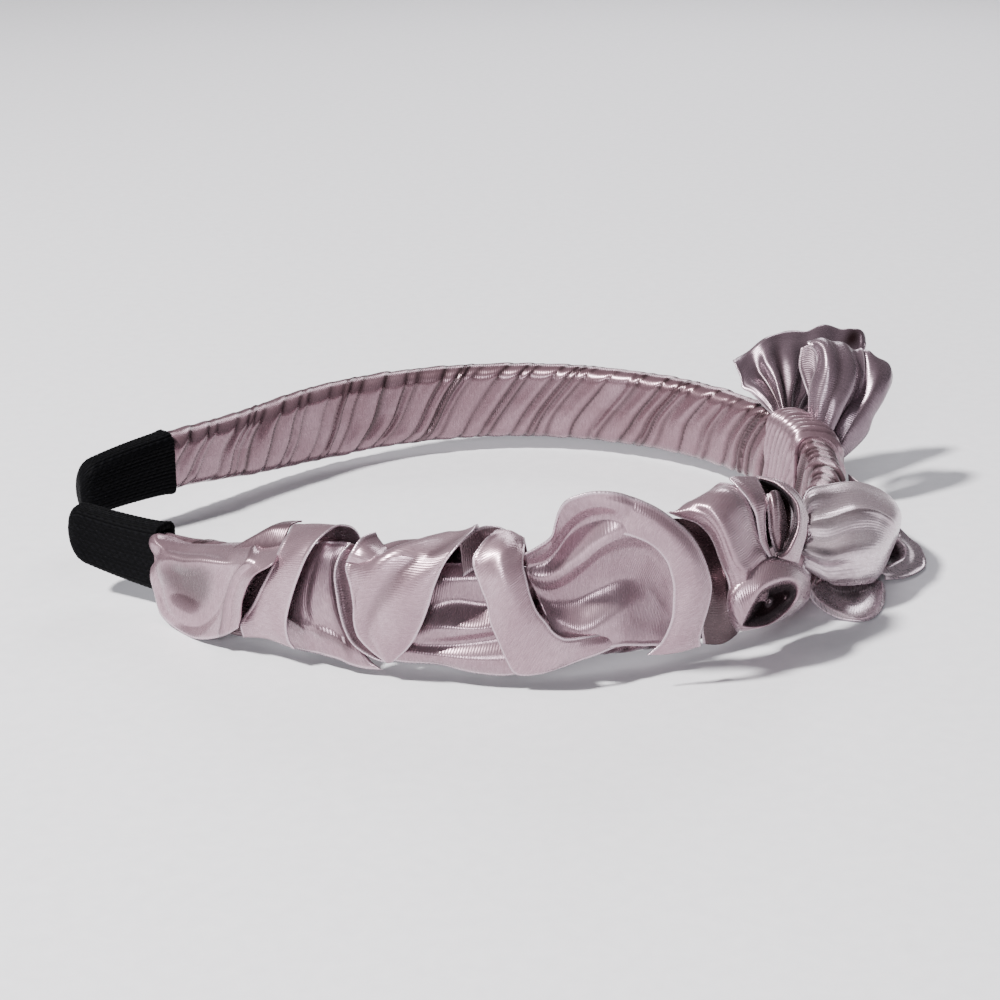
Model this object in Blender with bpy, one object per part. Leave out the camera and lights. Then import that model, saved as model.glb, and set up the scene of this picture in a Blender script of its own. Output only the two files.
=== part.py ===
"""Knotted satin headband: a sprung plastic hoop, padded and wrapped in satin ribbon,
with a ruffle along one leg and a two-winged bow tied at the crown.

Sizes are in millimetres and become metres where a mesh is made.
A point on the band is (s, z, n): s mm along the centreline from the crown, z mm above the
table, n mm outwards from the centreline. s is positive on the plain leg and negative on
the ruffled leg.
"""
import math

import bmesh
import bpy
import numpy as np
from mathutils import Vector

MM = 0.001

# Hoop
LEG_LENGTH = 200.0          # crown to tip, along the band
CROWN_CURVE = 0.0156        # curvature at the crown, 1/mm
SIDE_CURVE = 0.0160         # how much the sides tighten
TIP_CURVE = -0.0575         # how the tips open out again
MID_HEIGHT = 11.5           # centreline above the table
CROWN_X, CROWN_Y = 64.15, 5.14  # crown centreline in the part's frame
DRIFT_START = 150.0         # where the centreline starts to wander towards the tips
TIP_DRIFT = {-1: (-11.3, 13.3), 1: (12.9, -13.4)}   # dips then lifts, and the reverse

# Layers of the band: outward offsets of each layer's two faces
CORE_FACES = (-1.5, 0.25)
FOAM_FACES = (0.65, 2.1)
WRAP_INNER = (-1.9, 2.5)
WRAP_OUTER = (-2.7, 3.3)
WRAP_HALF_HEIGHT = 8.5
WRAP_TIP_HALF_HEIGHT = 6.1
WRAP_WALL = 0.8
CORE_HALF_HEIGHT = 6.5
CORE_TIP_HALF_HEIGHT = 3.9
FOAM_HALF_HEIGHT = 6.2
TAPER_START, TAPER_END = 130.0, 180.0

# Where the hoop flexes
FLEX_S = 48.0
FLEX_GAP = 0.3
FLEX_RELIEF = 2.6           # longer gap in the layers that lie outside the hinge line

# End sleeves
SLEEVE_MOUTH, SLEEVE_TIP = 180.0, 200.0
SLEEVE_HALF_HEIGHT = (6.4, 5.3)
SLEEVE_FACES = (-2.8, 2.4)
SLEEVE_WALL = 0.8
SLEEVE_CORNER = 3.0
LAYER_END = 179.6           # foam and wrap stop short of the sleeve
CORE_END = 196.5
SLEEVE_STATIONS = (180.0, 184.0, 190.0, 195.0, 197.0, 198.6, 199.5, 199.9)

# Knot
KNOT_START, KNOT_END = 1.5, 15.5
KNOT_HALF_HEIGHT = 10.3
KNOT_FACES = (-4.3, 7.8)
KNOT_TUNNEL_HALF_HEIGHT = 8.9
KNOT_TUNNEL_FACES = (-3.0, 3.6)

RIBBON = 0.8                # modelled thickness of a ribbon fold

# Tack stitches: (s, z) on the ruffled leg, half sizes along s, z and n, and how far out
STITCH_PLACES = ((152, 9), (130, 19), (114.5, 10), (93, 12.5), (81, 12), (69.5, 12))
STITCH_HALF = (0.3, 1.2, 0.25)
STITCH_OUT = 4.0

SATIN = (0.43, 0.27, 0.28, 1.0)
SATIN_SHADE = (0.36, 0.22, 0.23, 1.0)


def centreline_table(step=1.0):
    """Centreline of one leg: rows of s, x, y and the direction of travel."""
    s = np.arange(0.0, LEG_LENGTH + step, step)
    u = s / LEG_LENGTH
    heading = CROWN_CURVE * s + SIDE_CURVE * s * u ** 2 / 3 + TIP_CURVE * s * u ** 4 / 5
    dx, dy = -np.sin(heading), np.cos(heading)
    x = np.concatenate([[0.0], np.cumsum((dx[1:] + dx[:-1]) / 2 * step)])
    y = np.concatenate([[0.0], np.cumsum((dy[1:] + dy[:-1]) / 2 * step)])
    return s, x, y, dx, dy


LEG = centreline_table()


def drift(s):
    """Extra height of the centreline near the tips."""
    t = max(0.0, (abs(s) - DRIFT_START) / (LEG_LENGTH - DRIFT_START))
    square, cube = TIP_DRIFT[1 if s > 0 else -1]
    return square * t ** 2 + cube * t ** 3


def band_point(s, z, n):
    """A point in the part's frame, in metres."""
    x, y, dx, dy = (float(np.interp(abs(s), LEG[0], row)) for row in LEG[1:])
    side = 1 if s > 0 else -1
    return Vector((CROWN_X + x + dy * n, CROWN_Y + side * (y - dx * n), z)) * MM


def free_point(x, y, z):
    """A point measured from the crown's centreline, in metres."""
    return Vector((CROWN_X + x, CROWN_Y + y, z)) * MM


def surface(name, colour=SATIN, roughness=0.35):
    material = bpy.data.materials.new(name)
    material.use_nodes = True
    shader = material.node_tree.nodes["Principled BSDF"]
    shader.inputs["Base Color"].default_value = colour
    shader.inputs["Roughness"].default_value = roughness
    shader.inputs["Metallic"].default_value = 0.0
    return material


def add_object(name, points, faces, material, smooth=True):
    mesh = bpy.data.meshes.new(name)
    mesh.from_pydata([tuple(p) for p in points], [], faces)
    shape = bmesh.new()
    shape.from_mesh(mesh)
    bmesh.ops.recalc_face_normals(shape, faces=shape.faces)
    shape.to_mesh(mesh)
    shape.free()
    if smooth:
        mesh.shade_smooth()
        mesh.set_sharp_from_angle(angle=math.radians(50))
    mesh.materials.append(material)
    obj = bpy.data.objects.new(name, mesh)
    bpy.context.collection.objects.link(obj)
    return obj


def parent_to(obj, hinge):
    """Hang an object on the hinge empty without moving it."""
    obj.parent = hinge
    obj.matrix_parent_inverse = hinge.matrix_world.inverted()


# Band layers

def rounded_section(half_height, faces, corner, per_corner=2):
    """Outline of a band layer as (z, n) pairs about the centreline, anticlockwise."""
    low, high = faces
    corner = min(corner, (high - low) / 2 - 0.01)
    centres = [(half_height - corner, high - corner), (half_height - corner, low + corner),
               (-half_height + corner, low + corner), (-half_height + corner, high - corner)]
    outline = []
    for index, (cz, cn) in enumerate(centres):
        for step in range(per_corner + 1):
            angle = math.pi / 2 * (1 - index - step / per_corner)
            outline.append((cz + corner * math.cos(angle), cn + corner * math.sin(angle)))
    return outline


def section_loop(s, outline):
    height = MID_HEIGHT + drift(s)
    return [band_point(s, height + z, n) for z, n in outline]


def quads_between(first, second, count):
    return [(first + i, first + (i + 1) % count, second + (i + 1) % count, second + i)
            for i in range(count)]


def bar(name, stations, section, material):
    """A solid strip swept along the band, section(s) giving its outline."""
    points, faces = [], []
    for s in stations:
        points += section_loop(s, section(s))
    count = len(section(stations[0]))
    for k in range(len(stations) - 1):
        faces += quads_between(k * count, (k + 1) * count, count)
    last = (len(stations) - 1) * count
    faces.append(tuple(range(count)))
    faces.append(tuple(range(last, last + count)))
    return add_object(name, points, faces, material)


def tube(name, stations, outer, inner, material, closed_end=False):
    """A hollow strip swept along the band, open at both ends or closed at the last."""
    points, faces = [], []
    count = len(outer(stations[0]))
    for s in stations:
        points += section_loop(s, outer(s))
    hollow = stations[:-1] if closed_end else stations
    start = len(points)
    for s in hollow:
        points += section_loop(s, inner(s))
    for k in range(len(stations) - 1):
        faces += quads_between(k * count, (k + 1) * count, count)
    for k in range(len(hollow) - 1):
        faces += quads_between(start + k * count, start + (k + 1) * count, count)
    faces += quads_between(start, 0, count)
    last = (len(stations) - 1) * count
    last_hollow = start + (len(hollow) - 1) * count
    if closed_end:
        faces.append(tuple(range(last, last + count)))
        faces.append(tuple(range(last_hollow, last_hollow + count)))
    else:
        faces += quads_between(last, last_hollow, count)
    return add_object(name, points, faces, material)


def between(start, end, step=8.0):
    """Stations from start to end. Those in between are whole steps from the crown, so that
    every layer bends at the same places."""
    low, high = sorted((start, end))
    first, last = math.ceil((low + 1.0) / step), math.floor((high - 1.0) / step)
    inside = [k * step for k in range(first, last + 1)]
    stations = [low] + inside + [high]
    return stations if start < end else stations[::-1]


def taper(s, full, tip):
    t = min(1.0, max(0.0, (abs(s) - TAPER_START) / (TAPER_END - TAPER_START)))
    return full + (tip - full) * t * t * (3 - 2 * t)


def core_section(s):
    return rounded_section(taper(s, CORE_HALF_HEIGHT, CORE_TIP_HALF_HEIGHT), CORE_FACES, 0.7)


def foam_section(s):
    shrink = taper(s, 0.0, WRAP_HALF_HEIGHT - WRAP_TIP_HALF_HEIGHT)
    return rounded_section(FOAM_HALF_HEIGHT - shrink, FOAM_FACES, 0.6)


def wrap_section(faces, wall):
    def section(s):
        half = taper(s, WRAP_HALF_HEIGHT, WRAP_TIP_HALF_HEIGHT)
        return rounded_section(half - wall, faces, 2.6 - wall)
    return section


def sleeve_section(inset):
    """Sleeve outline, narrowing evenly and then rounding in at the tip."""
    def section(s):
        along = (abs(s) - SLEEVE_MOUTH) / (SLEEVE_TIP - SLEEVE_MOUTH)
        half = SLEEVE_HALF_HEIGHT[0] + (SLEEVE_HALF_HEIGHT[1] - SLEEVE_HALF_HEIGHT[0]) * along
        past = max(0.0, abs(s) - (SLEEVE_TIP - SLEEVE_CORNER)) / SLEEVE_CORNER
        rounding = SLEEVE_CORNER * (1 - math.sqrt(max(0.0, 1 - past ** 2)))
        thin = 0.5 * past
        low, high = SLEEVE_FACES
        return rounded_section(half - rounding - inset, (low + inset + thin, high - inset - thin),
                               1.9 - inset)
    return section


def build_band(hinge):
    core_plastic = surface("abs_core", (0.75, 0.72, 0.68, 1.0), 0.45)
    foam = surface("foam_padding", (0.80, 0.78, 0.74, 1.0), 0.95)
    wrap = surface("satin_wrap")
    elastic = surface("black_elastic", (0.012, 0.012, 0.014, 1.0), 0.8)
    fixed_end = FLEX_S - FLEX_GAP
    relief = FLEX_S + FLEX_RELIEF
    outer = wrap_section(WRAP_OUTER, 0.0)
    inner = wrap_section(WRAP_INNER, WRAP_WALL)
    bar("hoop_core_ruffled_leg", between(-CORE_END, fixed_end), core_section, core_plastic)
    bar("foam_pad_ruffled_leg", between(-LAYER_END, fixed_end), foam_section, foam)
    tube("satin_wrap_ruffled_leg", between(-LAYER_END, fixed_end), outer, inner, wrap)
    moving = [
        bar("hoop_core_plain_leg", between(FLEX_S + 0.7, CORE_END), core_section, core_plastic),
        bar("foam_pad_plain_leg", between(relief, LAYER_END), foam_section, foam),
        tube("satin_wrap_plain_leg", between(relief, LAYER_END), outer, inner, wrap)]
    for side, name in ((-1, "end_sleeve_ruffled_leg"), (1, "end_sleeve_plain_leg")):
        stations = [side * s for s in SLEEVE_STATIONS]
        sleeve = tube(name, stations, sleeve_section(0.0), sleeve_section(SLEEVE_WALL), elastic,
                      closed_end=True)
        if side > 0:
            moving.append(sleeve)
    for obj in moving:
        parent_to(obj, hinge)


def build_knot():
    """Ribbon wound round the band and the bow's waist, fuller in the middle."""
    def swell(s):
        t = (s - (KNOT_START + KNOT_END) / 2) / ((KNOT_END - KNOT_START) / 2)
        return 0.9 * t * t

    def outer(s):
        low, high = KNOT_FACES
        return rounded_section(KNOT_HALF_HEIGHT - swell(s), (low + swell(s) * 0.6, high - swell(s)),
                               3.4, 4)

    def inner(s):
        return rounded_section(KNOT_TUNNEL_HALF_HEIGHT, KNOT_TUNNEL_FACES, 2.2, 4)

    tube("knot_binding", between(KNOT_START, KNOT_END, 2.0), outer, inner,
         surface("satin_knot", SATIN_SHADE))


# Ribbon folds

def smooth_line(points, count, cyclic=False):
    """count + 1 points along a Catmull-Rom curve through the given points."""
    pts = [Vector(p) for p in points]
    spans = len(pts) if cyclic else len(pts) - 1
    line = []
    for k in range(count if cyclic else count + 1):
        place = min(k / count * spans, spans - 1e-9)
        i = int(place)
        t = place - i
        if cyclic:
            a, b, c, d = (pts[(i + j) % len(pts)] for j in (-1, 0, 1, 2))
        else:
            b, c = pts[i], pts[i + 1]
            a = pts[i - 1] if i > 0 else b * 2 - c
            d = pts[i + 2] if i + 2 < len(pts) else c * 2 - b
        line.append(0.5 * (2 * b + (c - a) * t + (2 * a - 5 * b + 4 * c - d) * t ** 2
                           + (3 * b - a - 3 * c + d) * t ** 3))
    return line


def ribbon(name, rails, along, across, material, cyclic=False):
    """A ribbon fold lofted across rails of (s, z, n) points on the ruffled leg."""
    lines = [smooth_line([band_point(-s, z, n) for s, z, n in rail], along, cyclic)
             for rail in rails]
    columns = len(lines[0])
    grid = [smooth_line([line[k] for line in lines], across) for k in range(columns)]
    points = [p for column in grid for p in column]
    width = across + 1
    faces = []
    for k in range(columns if cyclic else columns - 1):
        for j in range(across):
            a, b = k * width + j, ((k + 1) % columns) * width + j
            faces.append((a, b, b + 1, a + 1))
    obj = add_object(name, points, faces, material)
    thickness = obj.modifiers.new("ribbon thickness", 'SOLIDIFY')
    thickness.thickness = RIBBON * MM
    thickness.offset = 0.0
    return obj


POUCH = [
    [(179.3, 8, 4.6), (174, 4, 7.5), (167.5, 2, 8.5), (160.5, 3.5, 9.5), (157, 7, 10)],
    [(179.2, 11, 5.5), (173, 9.5, 8.5), (167, 7, 9), (160, 8.5, 9.5), (155.5, 12, 11)],
    [(179.2, 13.5, 5), (172, 14, 8.5), (166, 13, 8.5), (159, 14, 9.5), (153.5, 16.5, 11.5)],
    [(179.2, 16, 4.5), (172.5, 17, 7.5), (165.5, 17, 8), (158, 18, 8.5), (152, 20, 10)],
    [(179, 18, 2.5), (172, 19.5, 3), (165, 20.5, 3.5), (157.5, 21.5, 4), (151, 23, 5)],
    [(179, 17.6, -3), (172, 18.8, -3.6), (165, 20, -3.8), (158, 21, -4), (151, 21.5, -4)],
    [(179, 6, -3.8), (172, 5, -3.8), (165, 5, -3.8), (158, 5.5, -3.8), (151, 6, -3.8)]]

STRAP = [
    [(155, 6, 8.5), (153.5, 9.5, 9.5), (149, 16.5, 10), (147, 21.5, 9.5), (146, 25.3, 6),
     (145.5, 25.3, -1), (143.5, 19, -4.2), (140.5, 8, -4.0)],
    [(149, 6, 9), (148.5, 9.5, 10), (145.5, 16, 10.5), (143, 22, 10), (142.3, 26.3, 6),
     (141.5, 26.3, -1), (139.5, 19.5, -4.2), (136.5, 8, -4.0)],
    [(143.5, 5.5, 8.5), (144, 10, 9.5), (142.5, 16, 10), (140, 23, 9), (138.8, 27, 5.5),
     (137.5, 27, -1), (135.5, 20, -4.2), (132.5, 8, -4.0)]]

UNDER_PANEL = [
    [(147, 3.5, 5.3), (141, 4, 5.8), (136, 3.3, 5.8), (131.5, 1.8, 5.5)],
    [(147, 9.5, 5.8), (140.5, 9.5, 6.8), (136, 9.5, 6.3), (132.5, 7, 5.5)],
    [(146, 15.5, 5.8), (140, 16.5, 6.8), (136.5, 15.5, 6), (134, 13, 5)],
    [(144, 21, 5.5), (139.5, 22.5, 6), (137, 22, 5), (135, 20.5, 4.6)]]

BIG_FOLD = [
    [(127.8, 4.8, 8), (131, 7.5, 8.5), (133.5, 11.5, 9), (135.5, 17, 9), (136, 21.5, 8.5),
     (135.3, 25, 7), (132.5, 25.3, -1), (130, 19, -4.2), (128, 8, -4.0)],
    [(127, 5, 8), (129, 8, 9), (130.5, 11.5, 9.5), (131.7, 16.5, 9.2), (132, 21, 8.8),
     (131, 25.4, 7), (127.5, 26, -1), (125, 19, -4.2), (123, 8, -4.0)],
    [(126.3, 5.5, 8.3), (126, 9, 9.5), (125.5, 13, 10.5), (125, 18, 10.8), (123.5, 22.5, 10.3),
     (122, 26.6, 7.5), (120, 26.6, -1), (118.5, 19, -4.2), (116.5, 8, -4.0)],
    [(125.7, 6, 8.5), (123.5, 9.5, 9.5), (121, 14.5, 10.5), (119, 20, 11), (117, 24.5, 10.3),
     (115.5, 28, 7), (114, 27.3, -1), (112.5, 20, -4.2), (110.5, 8, -4.0)]]

CROSS_STRAP = [
    [(105.8, 4.5, 8.5), (108, 9, 9.5), (109.5, 13.5, 10), (110.5, 17.5, 10), (112, 22, 9.3),
     (112.2, 25.5, 7.5), (111, 27.6, 3), (108.8, 27.6, -1), (107, 20, -4.2), (104.5, 8, -4.0)],
    [(102, 4.5, 8.5), (104.5, 9, 10.5), (106.5, 14.5, 11), (107.5, 19, 11), (108.5, 23.5, 10.5),
     (108.5, 27, 8), (107, 29.3, 3), (104.5, 28.8, -1), (102.5, 20.5, -4.2), (100, 8, -4.0)],
    [(98, 5.5, 8), (101, 10.5, 10), (103, 15, 10.8), (104.5, 20, 11), (105.3, 24.5, 10.5),
     (104.8, 27, 8), (103.3, 28.6, 3), (100.5, 28, -1), (98.5, 20.5, -4.2), (96, 8, -4.0)]]

WAVE_BOWL = [
    [(97.5, 5.5, 6.3), (100.5, 10.5, 7.3), (102.5, 15, 7.8), (103.2, 20, 7.8), (102.5, 25, 7)],
    [(92.5, 6.5, 6.2), (95.5, 10, 5.7), (97, 17, 5.4), (98, 24, 6.6), (99, 29, 8)],
    [(87.5, 7.5, 5.8), (91.5, 11, 5.3), (92, 18, 5.4), (92.5, 26, 7.8), (95, 30.5, 10)],
    [(84.5, 8, 5.8), (86.5, 13, 6.3), (86.5, 19, 7.3), (87.5, 25, 8.8), (90, 29, 10.3)]]

WAVE_RIM = [
    [(100, 31, 8.5), (98.5, 34.5, 9), (94.5, 35.8, 10), (88.5, 34.5, 11), (84, 30.5, 12),
     (81.5, 27, 13), (79.5, 22.5, 14), (78.5, 16.5, 14.3), (78.5, 11, 13.5), (79, 5.5, 11.5)],
    [(98.5, 31, 11), (96.5, 33, 12.3), (93, 33.5, 13.3), (90, 31.5, 13.6), (87.7, 28, 13.6),
     (86, 24, 14), (84.5, 20, 14.2), (84, 15, 13.8), (84, 10.5, 12.3), (85.5, 5.5, 10.3)]]

SCROLL = [
    [(79, 30, 4), (77, 27, 7), (76, 23, 9), (75.5, 21.3, 9.3)],
    [(74.5, 32.5, 4.5), (75, 28.5, 10), (74.3, 24, 12.5), (73.8, 22, 13)],
    [(69, 33.3, 3), (68.3, 29, 7.5), (68, 25, 10), (67.5, 23, 11)]]

EYE_LOOP = [
    [(62, 32.3, 4.5), (58, 31.3, 6), (55.5, 28, 8.5), (56.3, 24, 10.5), (59.5, 21.3, 11.3),
     (63, 21.5, 11), (64.8, 25, 9.5), (64.6, 29.3, 7)],
    [(62, 31, 1), (59, 30, 1.5), (57.5, 27.5, 3.5), (58, 24.5, 4.6), (60.3, 22.6, 5),
     (62.6, 22.8, 5), (63.8, 25.3, 4.6), (63.6, 28.6, 2.8)]]

TUBE_LOOP = [
    [(74.5, 17, 12), (71, 19.6, 13), (67, 20, 13), (63, 17.5, 13), (60.6, 13.8, 12.5),
     (60.8, 9.8, 12), (64.5, 6.6, 12), (69, 5, 11.5), (73, 6.2, 11), (75.3, 11.5, 11.5)],
    [(73.5, 16.5, 5.5), (70.6, 18.6, 5.5), (67, 19, 5.5), (63.5, 16.8, 5.5), (61.6, 13.4, 5.5),
     (61.8, 10.3, 5.5), (65, 7.6, 5.5), (69, 6.3, 5.5), (72.4, 7.2, 5.5), (74.2, 11.5, 5.5)]]


def build_ruffle():
    """One long ribbon, tacked to the wrap between its folds."""
    ruffle = surface("satin_ruffle")
    shade = surface("satin_ruffle_shade", SATIN_SHADE)
    ribbon("ruffle_pouch", POUCH, 8, 12, ruffle)
    ribbon("ruffle_strap", STRAP, 14, 4, ruffle)
    ribbon("ruffle_under_panel", UNDER_PANEL, 6, 5, shade)
    ribbon("ruffle_big_fold", BIG_FOLD, 16, 6, ruffle)
    ribbon("ruffle_cross_strap", CROSS_STRAP, 18, 4, ruffle)
    ribbon("ruffle_wave_bowl", WAVE_BOWL, 8, 6, shade)
    ribbon("ruffle_wave_rim", WAVE_RIM, 18, 2, ruffle)
    ribbon("rosette_scroll", SCROLL, 6, 4, ruffle)
    ribbon("rosette_eye_loop", EYE_LOOP, 16, 2, ruffle, cyclic=True)
    ribbon("rosette_tube_loop", TUBE_LOOP, 20, 2, ruffle, cyclic=True)


def build_stitches():
    """Short bars of thread in the hollows where the ruffle is tacked to the wrap."""
    box = [(a, b, c) for a in (-1, 1) for b in (-1, 1) for c in (-1, 1)]
    quads = [(0, 1, 3, 2), (4, 6, 7, 5), (0, 4, 5, 1), (2, 3, 7, 6), (0, 2, 6, 4), (1, 5, 7, 3)]
    thread = surface("cotton_thread", SATIN_SHADE, 0.8)
    half_s, half_z, half_n = STITCH_HALF
    for number, (s, z) in enumerate(STITCH_PLACES, 1):
        points = [band_point(-(s + half_s * a), z + half_z * b, STITCH_OUT + half_n * c)
                  for a, b, c in box]
        add_object("tack_stitch_%d" % number, points, quads, thread, smooth=False)


# Bow

def loop_solid(name, sections, material, width_axis, sides=10, rings=8):
    """A puffed ribbon loop: ellipses along a smooth spine, flattened where it lies on the
    table. Each section is (x, y, z, half width, half thickness) from the crown."""
    rows = smooth_line_rows(sections, rings)
    points, faces = [], []
    for k, (x, y, z, half, thick) in enumerate(rows):
        centre = Vector((x, y, z))
        before, after = rows[max(0, k - 1)], rows[min(len(rows) - 1, k + 1)]
        run = (Vector(after[:3]) - Vector(before[:3])).normalized()
        wide = (width_axis - run * run.dot(width_axis)).normalized()
        flat = run.cross(wide)
        for i in range(sides):
            angle = 2 * math.pi * i / sides
            p = centre + wide * half * math.cos(angle) + flat * thick * math.sin(angle)
            points.append(free_point(p.x, p.y, max(0.0, p.z)))
    for k in range(len(rows) - 1):
        faces += quads_between(k * sides, (k + 1) * sides, sides)
    last = (len(rows) - 1) * sides
    faces.append(tuple(range(sides)))
    faces.append(tuple(range(last, last + sides)))
    return add_object(name, points, faces, material)


def smooth_line_rows(rows, count):
    """The same smooth curve through rows of five numbers."""
    places = smooth_line([row[:3] for row in rows], count)
    sizes = smooth_line([(row[3], row[4], 0) for row in rows], count)
    return [(*place, size[0], size[1]) for place, size in zip(places, sizes)]


UPPER_FAN = [(5.5, 20.6, 15, 1.6, 1.0), (4.5, 26, 20, 6.0, 1.4), (4, 30.5, 25, 11, 1.8),
             (6, 32.8, 29.3, 12.5, 1.8), (8, 33.6, 33, 10, 1.2)]
UPPER_FRONT_LOOP = [(7.2, 18.9, 11.5, 1.4, 1.0), (8, 17.8, 19, 3.8, 1.6), (8.3, 17.6, 27, 6.2, 2),
                    (8.6, 17.8, 33.5, 6.3, 1.3)]
UPPER_OUTER_LOOP = [(10.5, 19.2, 10.5, 1.0, 1.0), (14, 17.5, 15.5, 2.2, 1.6),
                    (17.2, 16.5, 21.5, 3, 2), (18.8, 16, 28, 3, 2), (18.3, 16, 32, 2.2, 1.2)]
LOWER_BIG_LOOP = [(6.6, 0.4, 10, 2.6, 2.4), (9, -6, 9.3, 4.4, 2.8), (11.2, -15, 8.4, 5.6, 3),
                  (10.3, -24, 9, 6, 3.2), (7, -31, 10.2, 6, 3.4), (2.2, -36.6, 12, 7, 3.6),
                  (-3, -40.2, 13.2, 7.4, 3.4), (-8.2, -43.2, 13.6, 6.8, 2.6),
                  (-12, -45.8, 12.8, 5.6, 1.1)]
LOWER_ROLL = [(-6.8, -39.6, 3.0, 1.5, 1.3), (-5.5, -43.6, 2.1, 2.3, 2.4),
              (-2, -45.3, 1.9, 2.6, 2.5), (3.2, -43.6, 1.9, 2.4, 2.5), (6.8, -38, 2.6, 1.6, 1.4)]
LOWER_BACK_LOOP = [(15.3, -15.5, 3.2, 1.4, 1.2), (18, -20.5, 1.8, 2.4, 2.3),
                   (16.6, -26.5, 1.7, 2.5, 2.2), (11.5, -31, 1.9, 1.6, 1.4)]


def build_bow():
    wing = surface("satin_bow")
    shade = surface("satin_bow_shade", SATIN_SHADE)
    across, upright = Vector((1, 0, 0)), Vector((0, 0, 1))
    loop_solid("bow_upper_fan", UPPER_FAN, shade, across)
    loop_solid("bow_upper_front_loop", UPPER_FRONT_LOOP, wing, across)
    loop_solid("bow_upper_outer_loop", UPPER_OUTER_LOOP, wing, across)
    loop_solid("bow_lower_big_loop", LOWER_BIG_LOOP, wing, upright, rings=16)
    loop_solid("bow_lower_roll", LOWER_ROLL, shade, upright)
    loop_solid("bow_lower_back_loop", LOWER_BACK_LOOP, shade, upright)


def main():
    for obj in list(bpy.data.objects):
        bpy.data.objects.remove(obj, do_unlink=True)
    hinge = bpy.data.objects.new("hoop_flex_axis", None)
    hinge.empty_display_size = 0.02
    bpy.context.collection.objects.link(hinge)
    hinge.location = band_point(FLEX_S, MID_HEIGHT, 0.0)
    bpy.context.view_layer.update()
    build_band(hinge)
    build_knot()
    build_ruffle()
    build_stitches()
    build_bow()


main()
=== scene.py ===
import math

import bmesh
import bpy
import numpy as np
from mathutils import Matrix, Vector


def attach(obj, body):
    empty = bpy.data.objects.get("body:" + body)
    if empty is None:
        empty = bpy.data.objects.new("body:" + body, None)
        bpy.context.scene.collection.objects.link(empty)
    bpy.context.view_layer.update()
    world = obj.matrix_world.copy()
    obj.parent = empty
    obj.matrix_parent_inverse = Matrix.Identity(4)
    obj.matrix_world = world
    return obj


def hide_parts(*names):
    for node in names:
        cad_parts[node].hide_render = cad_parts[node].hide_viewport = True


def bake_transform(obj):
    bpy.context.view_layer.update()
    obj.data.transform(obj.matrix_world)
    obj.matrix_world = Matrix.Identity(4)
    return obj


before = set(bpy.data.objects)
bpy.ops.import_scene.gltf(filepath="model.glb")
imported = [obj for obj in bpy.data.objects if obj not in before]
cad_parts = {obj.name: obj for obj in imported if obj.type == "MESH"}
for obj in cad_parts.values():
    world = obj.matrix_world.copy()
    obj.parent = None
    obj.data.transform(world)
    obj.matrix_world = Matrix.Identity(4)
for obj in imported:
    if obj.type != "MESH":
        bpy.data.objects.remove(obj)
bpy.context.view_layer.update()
mm = 0.001
fine = 1.0       # coarser meshes while trying things

# camera, lights and floor

camera = {"turn": 8.0, "down": 20.0, "distance": 0.45, "lens": 78.12,
          "aimFromCentre": (0.00045, 0.01409, 0.0066)}
lights = {
    "key": {"place": (-0.85, -0.35, 1.15), "size": 0.16, "power": 56.0, "colour": (1.0, 0.985, 0.97)},
    "front": {"place": (-0.35, -0.95, 0.40), "size": 0.30, "power": 6.0, "colour": (0.95, 0.96, 1.0)},
    "back": {"place": (0.30, 0.80, 0.60), "size": 0.5, "power": 5.0, "colour": (0.97, 0.96, 1.0)},
}
floorColour, worldGrey, worldPower = "f0eff3", 0.62, 0.15


def toLinear(code):
    # sRGB hex to the linear values that shaders take
    values = [int(code[i:i + 2], 16) / 255 for i in (0, 2, 4)]
    return tuple([v / 12.92 if v <= 0.04045 else ((v + 0.055) / 1.055) ** 2.4 for v in values] + [1.0])


def aimAt(obj, target):
    obj.rotation_mode = "QUATERNION"
    obj.rotation_quaternion = (Vector(target) - obj.location).to_track_quat("-Z", "Y")


turn, down = math.radians(camera["turn"]), math.radians(camera["down"])
aim = Vector(camera["aimFromCentre"])
away = Vector((-math.sin(turn) * math.cos(down), -math.cos(turn) * math.cos(down), math.sin(down)))
lens = bpy.data.cameras.new("viewCamera")
lens.lens, lens.sensor_width, lens.clip_start, lens.clip_end = camera["lens"], 36.0, 0.01, 20.0
viewer = bpy.data.objects.new("viewCamera", lens)
bpy.context.scene.collection.objects.link(viewer)
viewer.location = aim + away * camera["distance"]
aimAt(viewer, aim)
bpy.context.scene.camera = viewer

for name, light in lights.items():
    lamp = bpy.data.lights.new(name, "AREA")
    lamp.shape, lamp.size, lamp.energy, lamp.color = "DISK", light["size"], light["power"], light["colour"]
    holder = bpy.data.objects.new(name, lamp)
    bpy.context.scene.collection.objects.link(holder)
    holder.location = light["place"]
    aimAt(holder, (0, 0, 0.01))

world = bpy.data.worlds.new("studio")
bpy.context.scene.world = world
world.use_nodes = True
background = world.node_tree.nodes["Background"]
background.inputs["Color"].default_value = (worldGrey, worldGrey, worldGrey * 1.05, 1)
background.inputs["Strength"].default_value = worldPower

# materials


def newMaterial(name):
    material = bpy.data.materials.new(name)
    material.use_nodes = True
    return material, material.node_tree, material.node_tree.nodes["Principled BSDF"]


def addNode(tree, kind, settings=None, links=None, values=None):
    # one node: its settings, its plain socket values, and its incoming links
    node = tree.nodes.new(kind)
    for key, value in (settings or {}).items():
        setattr(node, key, value)
    for key, value in (values or {}).items():
        node.inputs[key].default_value = value
    for key, source in (links or {}).items():
        tree.links.new(source, node.inputs[key])
    return node


def setShader(shader, **values):
    names = {"roughness": "Roughness", "metallic": "Metallic", "specular": "Specular IOR Level",
             "sheen": "Sheen Weight", "sheenRoughness": "Sheen Roughness", "sheenTint": "Sheen Tint",
             "anisotropic": "Anisotropic", "coat": "Coat Weight", "coatRoughness": "Coat Roughness"}
    for key, value in values.items():
        shader.inputs[names[key]].default_value = value


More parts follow.
